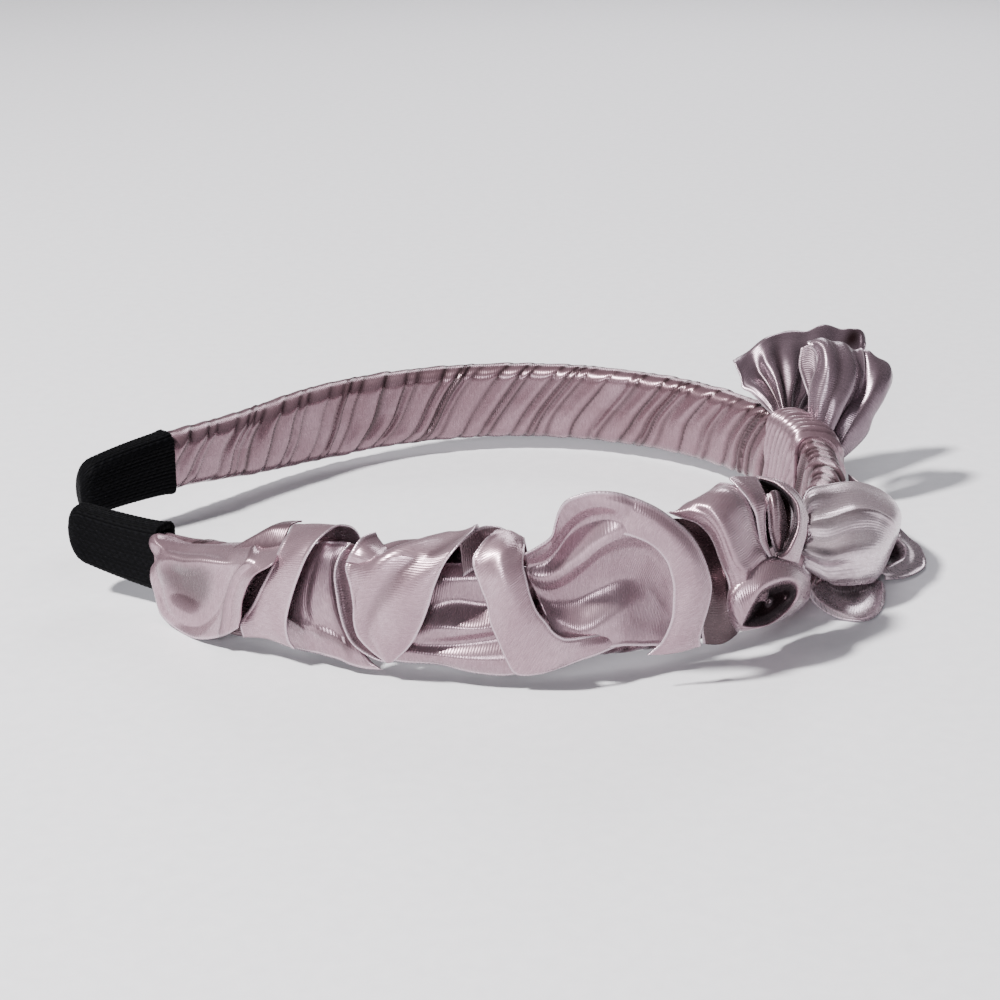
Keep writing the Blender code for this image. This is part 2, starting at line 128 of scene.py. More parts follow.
# Polyester organza satin, woven: a glossy shot cloth. Threads are 0.12 mm apart, far too fine to
# show, so the weave is drawn at 0.45 mm; it breaks the shine into short sparkling dashes.
# hollow is the colour of the painted shade, mixed in by the shade attribute
satin = {"light": "b79ca6", "mid": "8c6d78", "deep": "5d4048", "hem": "c4b0ba", "hollow": "2e1b1e",
         "threadPitch": 0.45, "dashLength": 1.3, "bump": 0.32, "roughness": 0.30, "metallic": 0.68,
         "anisotropic": 0.55}


def wovenSatin(name, light, mid, deep):
    material, tree, shader = newMaterial(name)
    setShader(shader, metallic=satin["metallic"], anisotropic=satin["anisotropic"], specular=0.8, sheen=0.12,
              sheenRoughness=0.4, sheenTint=toLinear(satin["hem"]), coat=0.2, coatRoughness=0.25)
    place = addNode(tree, "ShaderNodeUVMap", {"uv_map": "millimetres"})
    tangent = addNode(tree, "ShaderNodeTangent", {"direction_type": "UV_MAP", "uv_map": "millimetres"})
    tree.links.new(tangent.outputs[0], shader.inputs["Tangent"])
    # weft: fine lines across the ribbon; warp: short dashes along it
    weft = addNode(tree, "ShaderNodeTexWave", {"bands_direction": "X", "wave_profile": "SIN"},
                   {"Vector": place.outputs[0]},
                   {"Scale": math.pi / 10 / satin["threadPitch"], "Distortion": 0.6, "Detail": 1.0,
                    "Detail Scale": 1.5})
    stretch = addNode(tree, "ShaderNodeMapping", None, {"Vector": place.outputs[0]},
                      {"Scale": (1 / satin["threadPitch"], 1 / satin["dashLength"], 1)})
    dashes = addNode(tree, "ShaderNodeTexNoise", {"noise_dimensions": "2D"}, {"Vector": stretch.outputs[0]},
                     {"Scale": 1.0, "Detail": 2.0, "Roughness": 0.6})
    cloud = addNode(tree, "ShaderNodeTexNoise", {"noise_dimensions": "2D"}, {"Vector": place.outputs[0]},
                    {"Scale": 0.09, "Detail": 2.0})
    # colour: shot cloth drifts between a light and a mid rose, deeper between the threads
    drift = addNode(tree, "ShaderNodeMix", {"data_type": "RGBA"}, {"Factor": cloud.outputs["Fac"]},
                    {"A": toLinear(mid), "B": toLinear(light)})
    hollow = addNode(tree, "ShaderNodeMapRange", None, {"Value": dashes.outputs["Fac"]},
                     {"From Min": 0.35, "From Max": 0.62, "To Min": 0.22, "To Max": 0.0})
    thread = addNode(tree, "ShaderNodeMix", {"data_type": "RGBA"},
                     {"Factor": hollow.outputs[0], "A": drift.outputs["Result"]}, {"B": toLinear(deep)})
    # painted shade: the shade attribute mixes in a deep reddish brown for creases, dips and loop insides; the
    # cloth is also paler along its edges
    paintedShade = addNode(tree, "ShaderNodeAttribute", {"attribute_name": "shade"})
    paintedShadeMix = addNode(tree, "ShaderNodeMix", {"data_type": "RGBA"},
                       {"Factor": paintedShade.outputs["Fac"], "A": thread.outputs["Result"]},
                       {"B": toLinear(satin["hollow"])})
    edge = addNode(tree, "ShaderNodeAttribute", {"attribute_name": "hem"})
    coloured = addNode(tree, "ShaderNodeMix", {"data_type": "RGBA"},
                       {"Factor": edge.outputs["Fac"], "A": paintedShadeMix.outputs["Result"]},
                       {"B": toLinear(satin["hem"])})
    tree.links.new(coloured.outputs["Result"], shader.inputs["Base Color"])
    gloss = addNode(tree, "ShaderNodeMapRange", None, {"Value": dashes.outputs["Fac"]},
                    {"From Min": 0.3, "From Max": 0.7, "To Min": satin["roughness"] + 0.05,
                     "To Max": satin["roughness"] - 0.06})
    tree.links.new(gloss.outputs[0], shader.inputs["Roughness"])
    relief = addNode(tree, "ShaderNodeMath", {"operation": "MULTIPLY_ADD"},
                     {0: dashes.outputs["Fac"], 2: weft.outputs["Fac"]}, {1: 0.6})
    bump = addNode(tree, "ShaderNodeBump", None, {"Height": relief.outputs[0]},
                   {"Strength": satin["bump"], "Distance": 0.06 * mm})
    tree.links.new(bump.outputs[0], shader.inputs["Normal"])
    return material


ruffleSatin = wovenSatin("wovenSatinRuffle", satin["light"], satin["mid"], satin["deep"])
wrapSatin = wovenSatin("wovenSatinWrap", "967983", "75575f", "4d343a")
bowSatin = wovenSatin("wovenSatinBow", "e8d9e0", "c6b0ba", "8a6d76")
# the bow's satin again, painted darker and greyer for the upper wing: painted shade
paintedShadeSatin = wovenSatin("wovenSatinUpperWingPaintedShade", "947f8a", "715e69", "46363e")

# Braided elastic in polyester yarn over rubber: black, ribbed, nearly matt with a dull yarn glint.
elastic = {"yarn": "060609", "gap": "010102", "ribPitch": 1.0, "stitchPitch": 0.9}


def braidedElastic(name):
    material, tree, shader = newMaterial(name)
    setShader(shader, roughness=0.7, specular=0.06)
    place = addNode(tree, "ShaderNodeUVMap", {"uv_map": "millimetres"})
    ribs = addNode(tree, "ShaderNodeTexWave", {"bands_direction": "Y"}, {"Vector": place.outputs[0]},
                   {"Scale": math.pi / 10 / elastic["ribPitch"], "Distortion": 0.3})
    braid = addNode(tree, "ShaderNodeTexWave", {"bands_direction": "DIAGONAL"}, {"Vector": place.outputs[0]},
                    {"Scale": math.pi / 10 / elastic["stitchPitch"], "Distortion": 1.2, "Detail": 1.0})
    yarn = addNode(tree, "ShaderNodeMath", {"operation": "MULTIPLY"},
                   {0: ribs.outputs["Fac"], 1: braid.outputs["Fac"]})
    colour = addNode(tree, "ShaderNodeMix", {"data_type": "RGBA"}, {"Factor": yarn.outputs[0]},
                     {"A": toLinear(elastic["gap"]), "B": toLinear(elastic["yarn"])})
    tree.links.new(colour.outputs["Result"], shader.inputs["Base Color"])
    bump = addNode(tree, "ShaderNodeBump", None, {"Height": yarn.outputs[0]},
                   {"Strength": 0.8, "Distance": 0.12 * mm})
    tree.links.new(bump.outputs[0], shader.inputs["Normal"])
    return material


def plainStuff(name, light, dark, grain, bumpDepth, **shine):
    # a matt stuff with a fine grain: foam cells, moulded plastic's texture, spun thread
    material, tree, shader = newMaterial(name)
    setShader(shader, **shine)
    place = addNode(tree, "ShaderNodeTexCoord")
    speck = addNode(tree, "ShaderNodeTexNoise", None, {"Vector": place.outputs["Object"]},
                    {"Scale": 1 / (grain * mm), "Detail": 3.0})
    colour = addNode(tree, "ShaderNodeMix", {"data_type": "RGBA"}, {"Factor": speck.outputs["Fac"]},
                     {"A": toLinear(dark), "B": toLinear(light)})
    tree.links.new(colour.outputs["Result"], shader.inputs["Base Color"])
    bump = addNode(tree, "ShaderNodeBump", None, {"Height": speck.outputs["Fac"]},
                   {"Strength": 0.5, "Distance": bumpDepth * mm})
    tree.links.new(bump.outputs[0], shader.inputs["Normal"])
    return material


elasticBlack = braidedElastic("braidedElasticBlack")
# moulded ABS: off white, half glossy, with the mould's faint texture
coreAbs = plainStuff("mouldedAbsCore", "cfc8bd", "bdb6ab", 0.5, 0.02, roughness=0.42)
# cut polyurethane foam: pale and dead matt, pitted by its open cells
foamPu = plainStuff("cutPolyurethaneFoam", "ded8cc", "c8c0b2", 0.4, 0.15, roughness=0.95)
# spun cotton thread: soft and matt, dyed to match the ribbon
cottonThread = plainStuff("spunCottonThread", "a3868c", "7f6167", 0.15, 0.05, roughness=0.8)
# uncoated paper under the object: nearly white, matt, with the faintest cloudiness
paper = plainStuff("paleStudioPaper", floorColour, "e2e1e6", 3.0, 0.02, roughness=0.7)
print("materials ready")

# the band's line, in millimetres along, above the table and outwards

hoop = {"legLength": 200.0, "crownCurve": 0.0156, "sideCurve": 0.0160, "tipCurve": -0.0575,
        "midHeight": 11.5, "crown": (64.15, 5.14), "driftStart": 150.0,
        "plainTipDrift": (12.9, -13.4), "ruffledTipDrift": (-11.3, 13.3)}


def legTable(spacing=1.0):
    # places and directions along one leg, from the crown to the tip
    s = np.arange(0.0, hoop["legLength"] + spacing, spacing)
    u = s / hoop["legLength"]
    heading = s * (hoop["crownCurve"] + hoop["sideCurve"] * u ** 2 / 3 + hoop["tipCurve"] * u ** 4 / 5)
    dx, dy = -np.sin(heading), np.cos(heading)
    x = np.concatenate([[0.0], np.cumsum((dx[1:] + dx[:-1]) / 2 * spacing)])
    y = np.concatenate([[0.0], np.cumsum((dy[1:] + dy[:-1]) / 2 * spacing)])
    return s, x, y, dx, dy


leg = legTable()


def onBand(points):
    # (s, z, n) rows in mm to places in metres; s is negative on the ruffled leg
    s, z, n = np.moveaxis(np.asarray(points, float), -1, 0)
    x, y, dx, dy = (np.interp(np.abs(s), leg[0], row) for row in leg[1:])
    side = np.where(s >= 0, 1.0, -1.0)
    return np.stack([hoop["crown"][0] + x + dy * n, hoop["crown"][1] + side * (y - dx * n), z], -1) * mm


def onRuffledLeg(points):
    return onBand(np.asarray(points, float) * (-1, 1, 1))


def fromCrown(points):
    # (x, y, z) rows in mm from the crown, z from the table
    return (np.asarray(points, float) + (hoop["crown"][0], hoop["crown"][1], 0)) * mm


def midHeight(s):
    # the height of the band's middle: the tips drift up or down past driftStart
    t = np.clip((np.abs(s) - hoop["driftStart"]) / (hoop["legLength"] - hoop["driftStart"]), 0, None)
    plain, ruffled = hoop["plainTipDrift"], hoop["ruffledTipDrift"]
    square = np.where(s > 0, plain[0], ruffled[0])
    cube = np.where(s > 0, plain[1], ruffled[1])
    return hoop["midHeight"] + square * t ** 2 + cube * t ** 3


# cloth building


def curveThrough(points, count, ring=False):
    # a smooth curve through the points, then count places evenly spaced along it
    pts = np.asarray(points, float)
    spans = len(pts) if ring else len(pts) - 1
    place = np.linspace(0, spans, 24 * spans + 1)
    i = np.minimum(place.astype(int), spans - 1)
    t = (place - i)[:, None]
    if ring:
        a, b, c, d = (pts[(i + j) % len(pts)] for j in (-1, 0, 1, 2))
    else:
        longer = np.concatenate([[2 * pts[0] - pts[1]], pts, [2 * pts[-1] - pts[-2]]])
        a, b, c, d = (longer[i + j] for j in (0, 1, 2, 3))
    square, cube = 2 * a - 5 * b + 4 * c - d, 3 * b - a - 3 * c + d
    line = 0.5 * (2 * b + (c - a) * t + square * t ** 2 + cube * t ** 3)
    along = np.concatenate([[0], np.cumsum(np.linalg.norm(np.diff(line, axis=0), axis=1))])
    at = np.linspace(0, along[-1], count)
    return np.stack([np.interp(at, along, line[:, k]) for k in range(line.shape[1])], -1)


def loft(rails, across, along):
    # a grid through the rails: rows run across the ribbon, columns along it
    lines = np.stack([curveThrough(rail, along) for rail in rails])
    return np.stack([curveThrough(lines[:, k], across) for k in range(along)], 1)


def gridNormals(grid):
    # unit normals of a grid of places
    du, dv = np.gradient(grid, axis=0), np.gradient(grid, axis=1)
    normal = np.cross(du, dv)
    return normal / np.maximum(np.linalg.norm(normal, axis=-1, keepdims=True), 1e-12)


def waver(seed, *axes):
    # smooth irregular waves between about -1 and 1
    rng = np.random.default_rng(seed)
    total = 0.0
    for _ in range(7):
        pull, phase = rng.normal(size=len(axes)), rng.uniform(0, 2 * math.pi)
        total = total + np.sin(sum(c * a for c, a in zip(pull, axes)) + phase)
    return total / 3.2


def step(x, low, high):
    # a smooth rise from 0 at low to 1 at high
    t = np.clip((x - low) / (high - low), 0, 1)
    return t * t * (3 - 2 * t)


def lengths(grid):
    # real lengths over the cloth in mm, across and along
    across = np.concatenate([np.zeros((1, grid.shape[1])),
                             np.cumsum(np.linalg.norm(np.diff(grid, axis=0), axis=-1), 0)]) / mm
    along = np.concatenate([np.zeros((grid.shape[0], 1)),
                            np.cumsum(np.linalg.norm(np.diff(grid, axis=1), axis=-1), 1)], 1) / mm
    return across, along


def meshFromGrid(name, grid, material, ringAcross=False, ringAlong=False, thick=None, hem=None, shade=None):
    # cloth from a grid, with its real lengths as UVs and its hem and shade for the material
    rows, columns = grid.shape[:2]
    across, along = lengths(grid)
    k = np.arange(rows * columns).reshape(rows, columns)
    down, right = (rows if ringAcross else rows - 1), (columns if ringAlong else columns - 1)
    faces = []
    for i in range(down):
        for j in range(right):
            a, b = k[i, j], k[(i + 1) % rows, j]
            c, d = k[(i + 1) % rows, (j + 1) % columns], k[i, (j + 1) % columns]
            faces.append((a, b, c, d))
    mesh = bpy.data.meshes.new(name)
    mesh.from_pydata(grid.reshape(-1, 3).tolist(), [], faces)
    uv = mesh.uv_layers.new(name="millimetres")
    rowOf, columnOf = np.divmod(np.arange(rows * columns), columns)
    meanAcross, meanAlong = across.mean(1), along.mean(0)
    order = np.zeros(len(mesh.loops), np.int32)
    mesh.loops.foreach_get("vertex_index", order)
    flat = np.stack([meanAlong[columnOf[order]], meanAcross[rowOf[order]]], -1)
    uv.data.foreach_set("uv", flat.ravel().astype(np.float32))
    mark = mesh.attributes.new("hem", "FLOAT", "POINT")
    if hem:
        near = np.minimum(across, across[-1:] - across)
        mark.data.foreach_set("value", (0.75 * (1 - step(near, hem * 0.6, hem))).ravel().astype(np.float32))
    paintedShade = mesh.attributes.new("shade", "FLOAT", "POINT")
    if shade is not None:
        paintedShade.data.foreach_set("value", np.broadcast_to(shade, (rows, columns)).ravel().astype(np.float32))
    mesh.materials.append(material)
    mesh.shade_smooth()
    obj = bpy.data.objects.new(name, mesh)
    bpy.context.scene.collection.objects.link(obj)
    if thick:
        solid = obj.modifiers.new("cloth thickness", "SOLIDIFY")
        solid.thickness, solid.offset = thick * mm, 0.0
    return obj


ruffleCloth = {"thick": 0.3, "hem": 0.5, "selvedge": 0.12}


def ribbon(name, rails, size, place, relief, material, paintedShade):
    # a ribbon through its rails, with its relief, a proud woven edge and painted shade where it dips
    across, along = max(6, int(size[0] * fine)), max(8, int(size[1] * fine))
    grid = place(loft(rails, across, along))
    u, v = np.meshgrid(np.linspace(0, 1, across), np.linspace(0, 1, along), indexing="ij")
    wide, long = lengths(grid)
    near = np.minimum(wide, wide[-1:] - wide)
    height = ruffleCloth["selvedge"] * (1 - step(near, 0.4, 0.9))      # the woven edge stands a little proud
    folds = relief(u, v, wide, long) if relief else 0.0 * u
    grid = grid + gridNormals(grid) * ((height + folds) * mm)[..., None]
    # painted shade: the piece's own amount, and more where its relief dips
    paintedShadeShare = (paintedShade(u, v) if callable(paintedShade) else paintedShade) + 0.55 * step(-folds, 0.1, 0.8)
    return meshFromGrid(name, grid, material, thick=ruffleCloth["thick"], hem=ruffleCloth["hem"],
                        shade=np.clip(paintedShadeShare, 0, 1))


def crease(u, v, start, end, width, depth):
    # a groove (depth below zero) or ridge from start to end, in shares of the cloth
    (a, b), (c, d) = start, end
    length = max((c - a) ** 2 + (d - b) ** 2, 1e-9)
    t = np.clip(((u - a) * (c - a) + (v - b) * (d - b)) / length, 0, 1)
    away = np.hypot(u - a - t * (c - a), v - b - t * (d - b))
    return depth * np.exp(-(away / width) ** 2) * (0.35 + 0.65 * np.sin(math.pi * (0.12 + 0.76 * t)))


def puckers(seed, size, depth, slant=0.0):
    # soft creases that run along the ribbon, size mm apart
    def relief(u, v, wide, long):
        return depth * waver(seed, (wide + slant * long) / size, long / (4.5 * size))
    return relief


def finish(obj, body, nodes):
    # the piece rides its body and stands for its CAD nodes, if it has any
    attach(obj, body)
    if nodes:
        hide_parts(*nodes)
    return obj


# the wrap: one ribbon wound in slanting pleats, from sleeve to sleeve

# groove sets how dark the painted shade along the pleats' edges is
wrap = {"reach": 179.6, "halfHeight": 8.5, "tipHalfHeight": 6.1, "faces": (-2.7, 3.3), "corner": 2.85,
        "taper": (130.0, 180.0), "stepAlong": 0.34, "around": 150, "turnLength": 27.0,
        "pleats": (3.4, 5.6, 2.2, 4.8, 6.6, 2.6, 1.8), "strengths": (0.75, 1.0, 0.5, 0.85, 1.1, 0.6, 0.8),
        "fold": 0.9, "groove": 1.5, "thick": 0.25, "parting": 8.5, "pressed": (138, 150)}


def evenRing(outline, count):
    along = np.concatenate([[0], np.cumsum(np.linalg.norm(np.diff(outline, axis=0), axis=1))])
    at = np.linspace(0, along[-1], count, endpoint=False)
    return np.stack([np.interp(at, along, outline[:, k]) for k in range(2)], -1)


def sectionRing(half, low, high, corner, count):
    # the band's cross section: a rounded rectangle, 2 half high, from low to high across the band
    corner = min(corner, (high - low) / 2 - 0.01, half - 0.01)
    outline = [(0.0, low)]
    for cz, cn, start in ((half - corner, low + corner, -90), (half - corner, high - corner, 0),
                          (-half + corner, high - corner, 90), (-half + corner, low + corner, 180)):
        for k in range(9):
            angle = math.radians(start + 90 * k / 8)
            # angle -90 points inwards (n low), 0 points up (z high), 90 outwards, 180 down
            outline.append((cz + corner * math.cos(angle), cn + corner * math.sin(angle)))
    outline.append((0.0, low))
    return evenRing(np.array(outline), count)


def sweep(stations, ringAt):
    # a grid of rings along the band
    rings = []
    for s in stations:
        ring = ringAt(s)
        height = float(midHeight(np.array(s)))
        rings.append(np.stack([np.full(len(ring), s), height + ring[:, 0], ring[:, 1]], -1))
    return onBand(np.stack(rings, 1))


def outwardNormals(grid):
    # normals of a grid of rings, pointing away from the rings' middles
    normal = gridNormals(grid)
    outwards = ((grid - grid.mean(0, keepdims=True)) * normal).sum()
    return -normal if outwards < 0 else normal


firstRing, lastRing = slice(0, 1), slice(-1, None)


def drawnIn(grid, middle, ring, share):
    # an end ring drawn in towards its middle
    return middle[:, ring] + (grid[:, ring] - middle[:, ring]) * share


def tuckedRing(s, ring, heightShare, depthShare):
    # the cloth's end, tucked in under it to another place on the band
    height = float(midHeight(np.array(s)))
    rows = [np.full(len(ring), s), height + ring[:, 0] * heightShare, ring[:, 1] * depthShare]
    return onBand(np.stack(rows, -1))[:, None]


def taperTo(s, full, tip):
    return full + (tip - full) * float(step(np.array(abs(s)), *wrap["taper"]))


def pleatHeight(s, phi):
    # the folds' height and the painted shade along their edges: each fold rises sharply and thins away
    rounds = wrap["turnLength"]
    wobble = 1.3 * waver(3, s / 9, np.cos(2 * math.pi * phi) * 1.1, np.sin(2 * math.pi * phi) * 1.1)
    w = (s + rounds * phi + wobble) % rounds
    edges = np.concatenate([[0], np.cumsum(wrap["pleats"])])
    edges = edges * rounds / edges[-1]
    k = np.clip(np.searchsorted(edges, w, side="right") - 1, 0, len(wrap["pleats"]) - 1)
    start, end = edges[k], edges[k + 1]
    t = (w - start) / (end - start)
    rise = step(t, 0.0, 0.22) * (1 - step(t, 0.30, 1.0) * 0.85)
    strength = np.array(wrap["strengths"])[k]
    strength = strength * (0.75 + 0.45 * waver(11, s / 14, np.cos(2 * math.pi * phi), k * 2.7))
    depth = 1.0 + 0.5 * (1 - step(np.abs(s), 25, 80))      # bolder beside the knot
    depth = depth * (0.1 + 0.9 * step(np.abs(s - wrap["parting"]), 6.5, 9.5))      # flat under the knot
    folds = wrap["fold"] * rise * np.clip(strength, 0.12, 1.5) * depth
    width = end - start
    # painted shade: a dark line along each fold's rising edge and a fainter one along its far edge
    line = (1 - step(t * width, 0.0, 1.2)) + 0.6 * (1 - step((1 - t) * width, 0.0, 1.5))
    nearEdge = np.abs(np.cos(2 * math.pi * phi))      # flatter where it bends round the band's edges
    height = (folds - wrap["fold"] * 0.45) * (0.15 + 0.85 * nearEdge)
    return height, np.clip(line * strength * wrap["groove"], 0, 0.92)


def buildWrap(name, first, last):
    # from one place on the band to another, each a sleeve's mouth or the parting under the knot
    reach = wrap["reach"]
    stations = np.linspace(first, last, int((last - first) / wrap["stepAlong"] * fine))
    around = int(wrap["around"] * fine)

    def ringAt(s):
        half = taperTo(s, wrap["halfHeight"], wrap["tipHalfHeight"])
        ring = sectionRing(half, *wrap["faces"], wrap["corner"], around)
        squeeze = 1 - 0.2 * float(step(np.array(-s), *wrap["pressed"]))      # pressed down under the pouch
        ring[:, 0] *= np.where(ring[:, 0] > 0, squeeze, 1)
        return ring

    grid = sweep(stations, ringAt)
    phi, s = np.meshgrid(np.arange(around) / around, stations, indexing="ij")
    middle, normal = grid.mean(0, keepdims=True), outwardNormals(grid)
    height, shade = pleatHeight(s, phi)
    height = height * (1 - 0.8 * step(np.abs(s), reach - 1.5, reach))
    grid = grid + normal * (height * mm)[..., None]
    # at a sleeve's mouth the ribbon turns in over the hoop
    starts = [drawnIn(grid, middle, firstRing, k) for k in (0.55, 0.9)] if first == -reach else []
    ends = [drawnIn(grid, middle, lastRing, k) for k in (0.9, 0.55)] if last == reach else []
    grid = np.concatenate([*starts, grid, *ends], 1)
    shade = np.pad(shade, ((0, 0), (len(starts), len(ends))))
    return meshFromGrid(name, grid, wrapSatin, ringAcross=True, thick=wrap["thick"], shade=shade)


def acrossHinge(obj, slot, *nodes):
    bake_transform(obj)
    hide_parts(*nodes)
    return obj


wrapRuffled = finish(buildWrap("satinWrapRuffled", -wrap["reach"], wrap["parting"]), "ruffled_leg",
                     ["satin_wrap_ruffled_leg"])
wrapPlain = acrossHinge(buildWrap("satinWrapPlain", wrap["parting"], wrap["reach"]), "satin_wrap",
                        "satin_wrap_plain_leg")
print("wrap wound")

# inside the wrap: the moulded hoop and its foam

core = {"reach": 196.5, "halfHeight": 6.5, "tipHalfHeight": 3.9, "faces": (-1.5, 0.25), "corner": 0.7,
        "around": 40, "legEnd": 188.0, "tipStart": 190.0, "tipRings": 14}
foam = {"reach": 179.0, "halfHeight": 6.2, "faces": (0.65, 2.1), "corner": 0.6, "around": 48,
        "crown": 0.25, "crownFrom": 1.4}
plainStart, ruffledStart = wrap["parting"] + 0.1, wrap["parting"] - 0.1      # 0.2 mm apart


def closedStrip(name, stations, ringAt, material):
    # rings along the band, closed at both ends
    grid = sweep(stations, ringAt)
    middle = grid.mean(0, keepdims=True)
    first, last = (drawnIn(grid, middle, ring, 0.02) for ring in (firstRing, lastRing))
    return meshFromGrid(name, np.concatenate([first, grid, last], 1), material, ringAcross=True)


def tipRound(s, reach, half):
    # rounds a strip's end in plan
    past = max(0.0, abs(s) - (reach - half)) / half
    return half * math.sqrt(max(0.02, 1 - past ** 2))


def coreRing(s):
    half = tipRound(s, core["reach"], taperTo(s, core["halfHeight"], core["tipHalfHeight"]))
    return sectionRing(half, *core["faces"], core["corner"], core["around"])


def coreStations(inner, rings):
    # closer together over the last millimetres, where the tip rounds off
    tip = np.linspace(core["tipStart"], core["reach"], core["tipRings"])
    return np.concatenate([np.linspace(inner, core["legEnd"], rings), tip])


finish(closedStrip("hoopCoreRuffled", -coreStations(-ruffledStart, 125)[::-1], coreRing, coreAbs),
       "ruffled_leg", ["hoop_core_ruffled_leg"])
acrossHinge(closedStrip("hoopCorePlain", coreStations(plainStart, 120), coreRing, coreAbs),
            "hoop_plastic", "hoop_core_plain_leg")


def foamRing(s):
    narrowed = wrap["halfHeight"] - taperTo(s, wrap["halfHeight"], wrap["tipHalfHeight"])
    ring = sectionRing(foam["halfHeight"] - narrowed, *foam["faces"], foam["corner"], foam["around"])
    outer = ring[:, 1] > foam["crownFrom"]
    ring[outer, 1] += foam["crown"] * (1 - (ring[outer, 0] / foam["halfHeight"]) ** 2)   # padded crown
    return ring


foamRuffled = closedStrip("foamRuffled", np.linspace(-foam["reach"], ruffledStart, 125), foamRing, foamPu)
foamPlain = closedStrip("foamPlain", np.linspace(plainStart, foam["reach"], 115), foamRing, foamPu)
finish(foamRuffled, "ruffled_leg", ["foam_pad_ruffled_leg"])
acrossHinge(foamPlain, "foam", "foam_pad_plain_leg")
print("core and foam placed")

# end sleeves: black ribbed elastic

sleeve = {"mouth": 179.8, "tip": 200.0, "halfHeight": (6.5, 5.4), "faces": (-2.9, 2.6), "ribs": 44,
          "ribDepth": 0.13, "corner": 3.2, "edge": 2.0, "stitch": 0.95, "swell": 0.22, "tuck": 2,
          "thick": 0.4}


def buildSleeve(name, side):
    count, around = int(110 * fine), int(352 * fine)
    stations = side * (sleeve["mouth"] + (sleeve["tip"] - sleeve["mouth"]) * np.linspace(0, 1, count) ** 0.9)

    def ringAt(s):
        along = (abs(s) - sleeve["mouth"]) / (sleeve["tip"] - sleeve["mouth"])
        half = sleeve["halfHeight"][0] + (sleeve["halfHeight"][1] - sleeve["halfHeight"][0]) * along
        past = max(0.0, abs(s) - (sleeve["tip"] - sleeve["corner"])) / sleeve["corner"]
        half -= sleeve["corner"] * (1 - math.sqrt(max(0.0, 1 - past ** 2)))
        thin = 0.9 * past ** 3
        swell = sleeve["swell"] * math.exp(-(abs(s) - sleeve["mouth"]) / 0.9)      # rolled mouth
        low, high = sleeve["faces"]
        return sectionRing(half + swell, low - swell + thin, high + swell - thin, sleeve["edge"], around)

    grid = sweep(stations, ringAt)
    middle, normal = grid.mean(0, keepdims=True), outwardNormals(grid)
    phi = np.arange(around) / around
    ribs = np.abs(np.sin(math.pi * sleeve["ribs"] * phi)) ** 0.7
    s = np.abs(stations)
    ribNumber = np.floor(sleeve["ribs"] * phi)[:, None]
    braid = 0.25 * np.sin(2 * math.pi * (s[None] / sleeve["stitch"] + 0.5 * ribNumber))
    height = sleeve["ribDepth"] * ribs[:, None] * (1 + braid) - sleeve["ribDepth"]
    height = height * (1 - step(s, sleeve["tip"] - 1.2, sleeve["tip"]))[None]
    grid = grid + normal * (height * mm)[..., None]
    turned = drawnIn(grid, middle, firstRing, 0.84)
    inside = tuckedRing(side * (sleeve["mouth"] + sleeve["tuck"]), ringAt(stations[0]), 0.84, 0.7)
    tipMiddle, tipClosed = (drawnIn(grid, middle, lastRing, share) for share in (0.5, 0.01))
    return meshFromGrid(name, np.concatenate([inside, turned, grid, tipMiddle, tipClosed], 1), elasticBlack,
                        ringAcross=True, thick=sleeve["thick"])


for legName, side in (("Ruffled", -1), ("Plain", 1)):
    body = legName.lower() + "_leg"
    sleevePiece = buildSleeve("endSleeve" + legName, side)
    finish(sleevePiece, body, ["end_sleeve_" + body])
print("sleeves knitted")

# knot binding

knot = {"start": 0.6, "end": 16.4, "pleats": 8, "fold": 0.7, "slant": 1.7, "tuck": 1.2, "thick": 0.25,
        "outline": ((0, -4.2), (6, -4.3), (9.2, -3.4), (10.3, -0.6), (9.5, 3.4), (6.4, 6.4), (0, 7.7),
                    (-5, 7.7), (-8.8, 6.4), (-10.2, 3), (-10.2, -1), (-8, -4), (-4, -4.3))}


def buildKnot():
    count, around = int(120 * fine), int(160 * fine)
    stations = np.linspace(knot["start"], knot["end"], count)
    mid, reach = (knot["start"] + knot["end"]) / 2, (knot["end"] - knot["start"]) / 2

    def ringAt(s):
        t = abs(s - mid) / reach
        waist = 1 - 0.05 * t * t - 0.10 * float(step(np.array(t), 0.82, 1.0))
        return curveThrough(knot["outline"], around + 1, ring=True)[:-1] * waist

    grid = sweep(stations, ringAt)
    normal = outwardNormals(grid)
    phi, s = np.meshgrid(np.arange(around) / around, stations, indexing="ij")
    ring = (np.cos(2 * math.pi * phi), np.sin(2 * math.pi * phi))
    # pleats run round the waist, slanting, and crowd together towards the outer face
    w = (s - knot["start"]) / (knot["end"] - knot["start"]) * knot["pleats"] + knot["slant"] * ring[1]
    w = w + 0.4 * waver(21, ring[0] * 1.3, ring[1] * 1.3, s / 6)
    t = w % 1.0
    height = step(t, 0.0, 0.35) * (1 - step(t, 0.42, 1.0))
    height = height * (0.8 + 0.3 * waver(22, np.floor(w) * 1.7, ring[0], ring[1])) * knot["fold"]
    height = height * (1 - step(np.abs(s - mid) / reach, 0.86, 1.0))
    grid = grid + normal * (height * mm)[..., None]
    first = tuckedRing(knot["start"] + knot["tuck"], ringAt(stations[0]), 0.84, 0.55)
    last = tuckedRing(knot["end"] - knot["tuck"], ringAt(stations[-1]), 0.84, 0.55)
    # painted shade in the grooves between the pleats
    shade = np.pad(0.45 * (1 - step(t, 0.0, 0.25)), ((0, 0), (1, 1)))
    return meshFromGrid("knotBinding", np.concatenate([first, grid, last], 1), ruffleSatin, ringAcross=True,
                        thick=knot["thick"], shade=shade)


knotBinding = finish(buildKnot(), "ruffled_leg", ["knot_binding"])
print("knot tied")

# ruffle: one ribbon folded to and fro along the ruffled leg; rails are (s, z, n) in mm

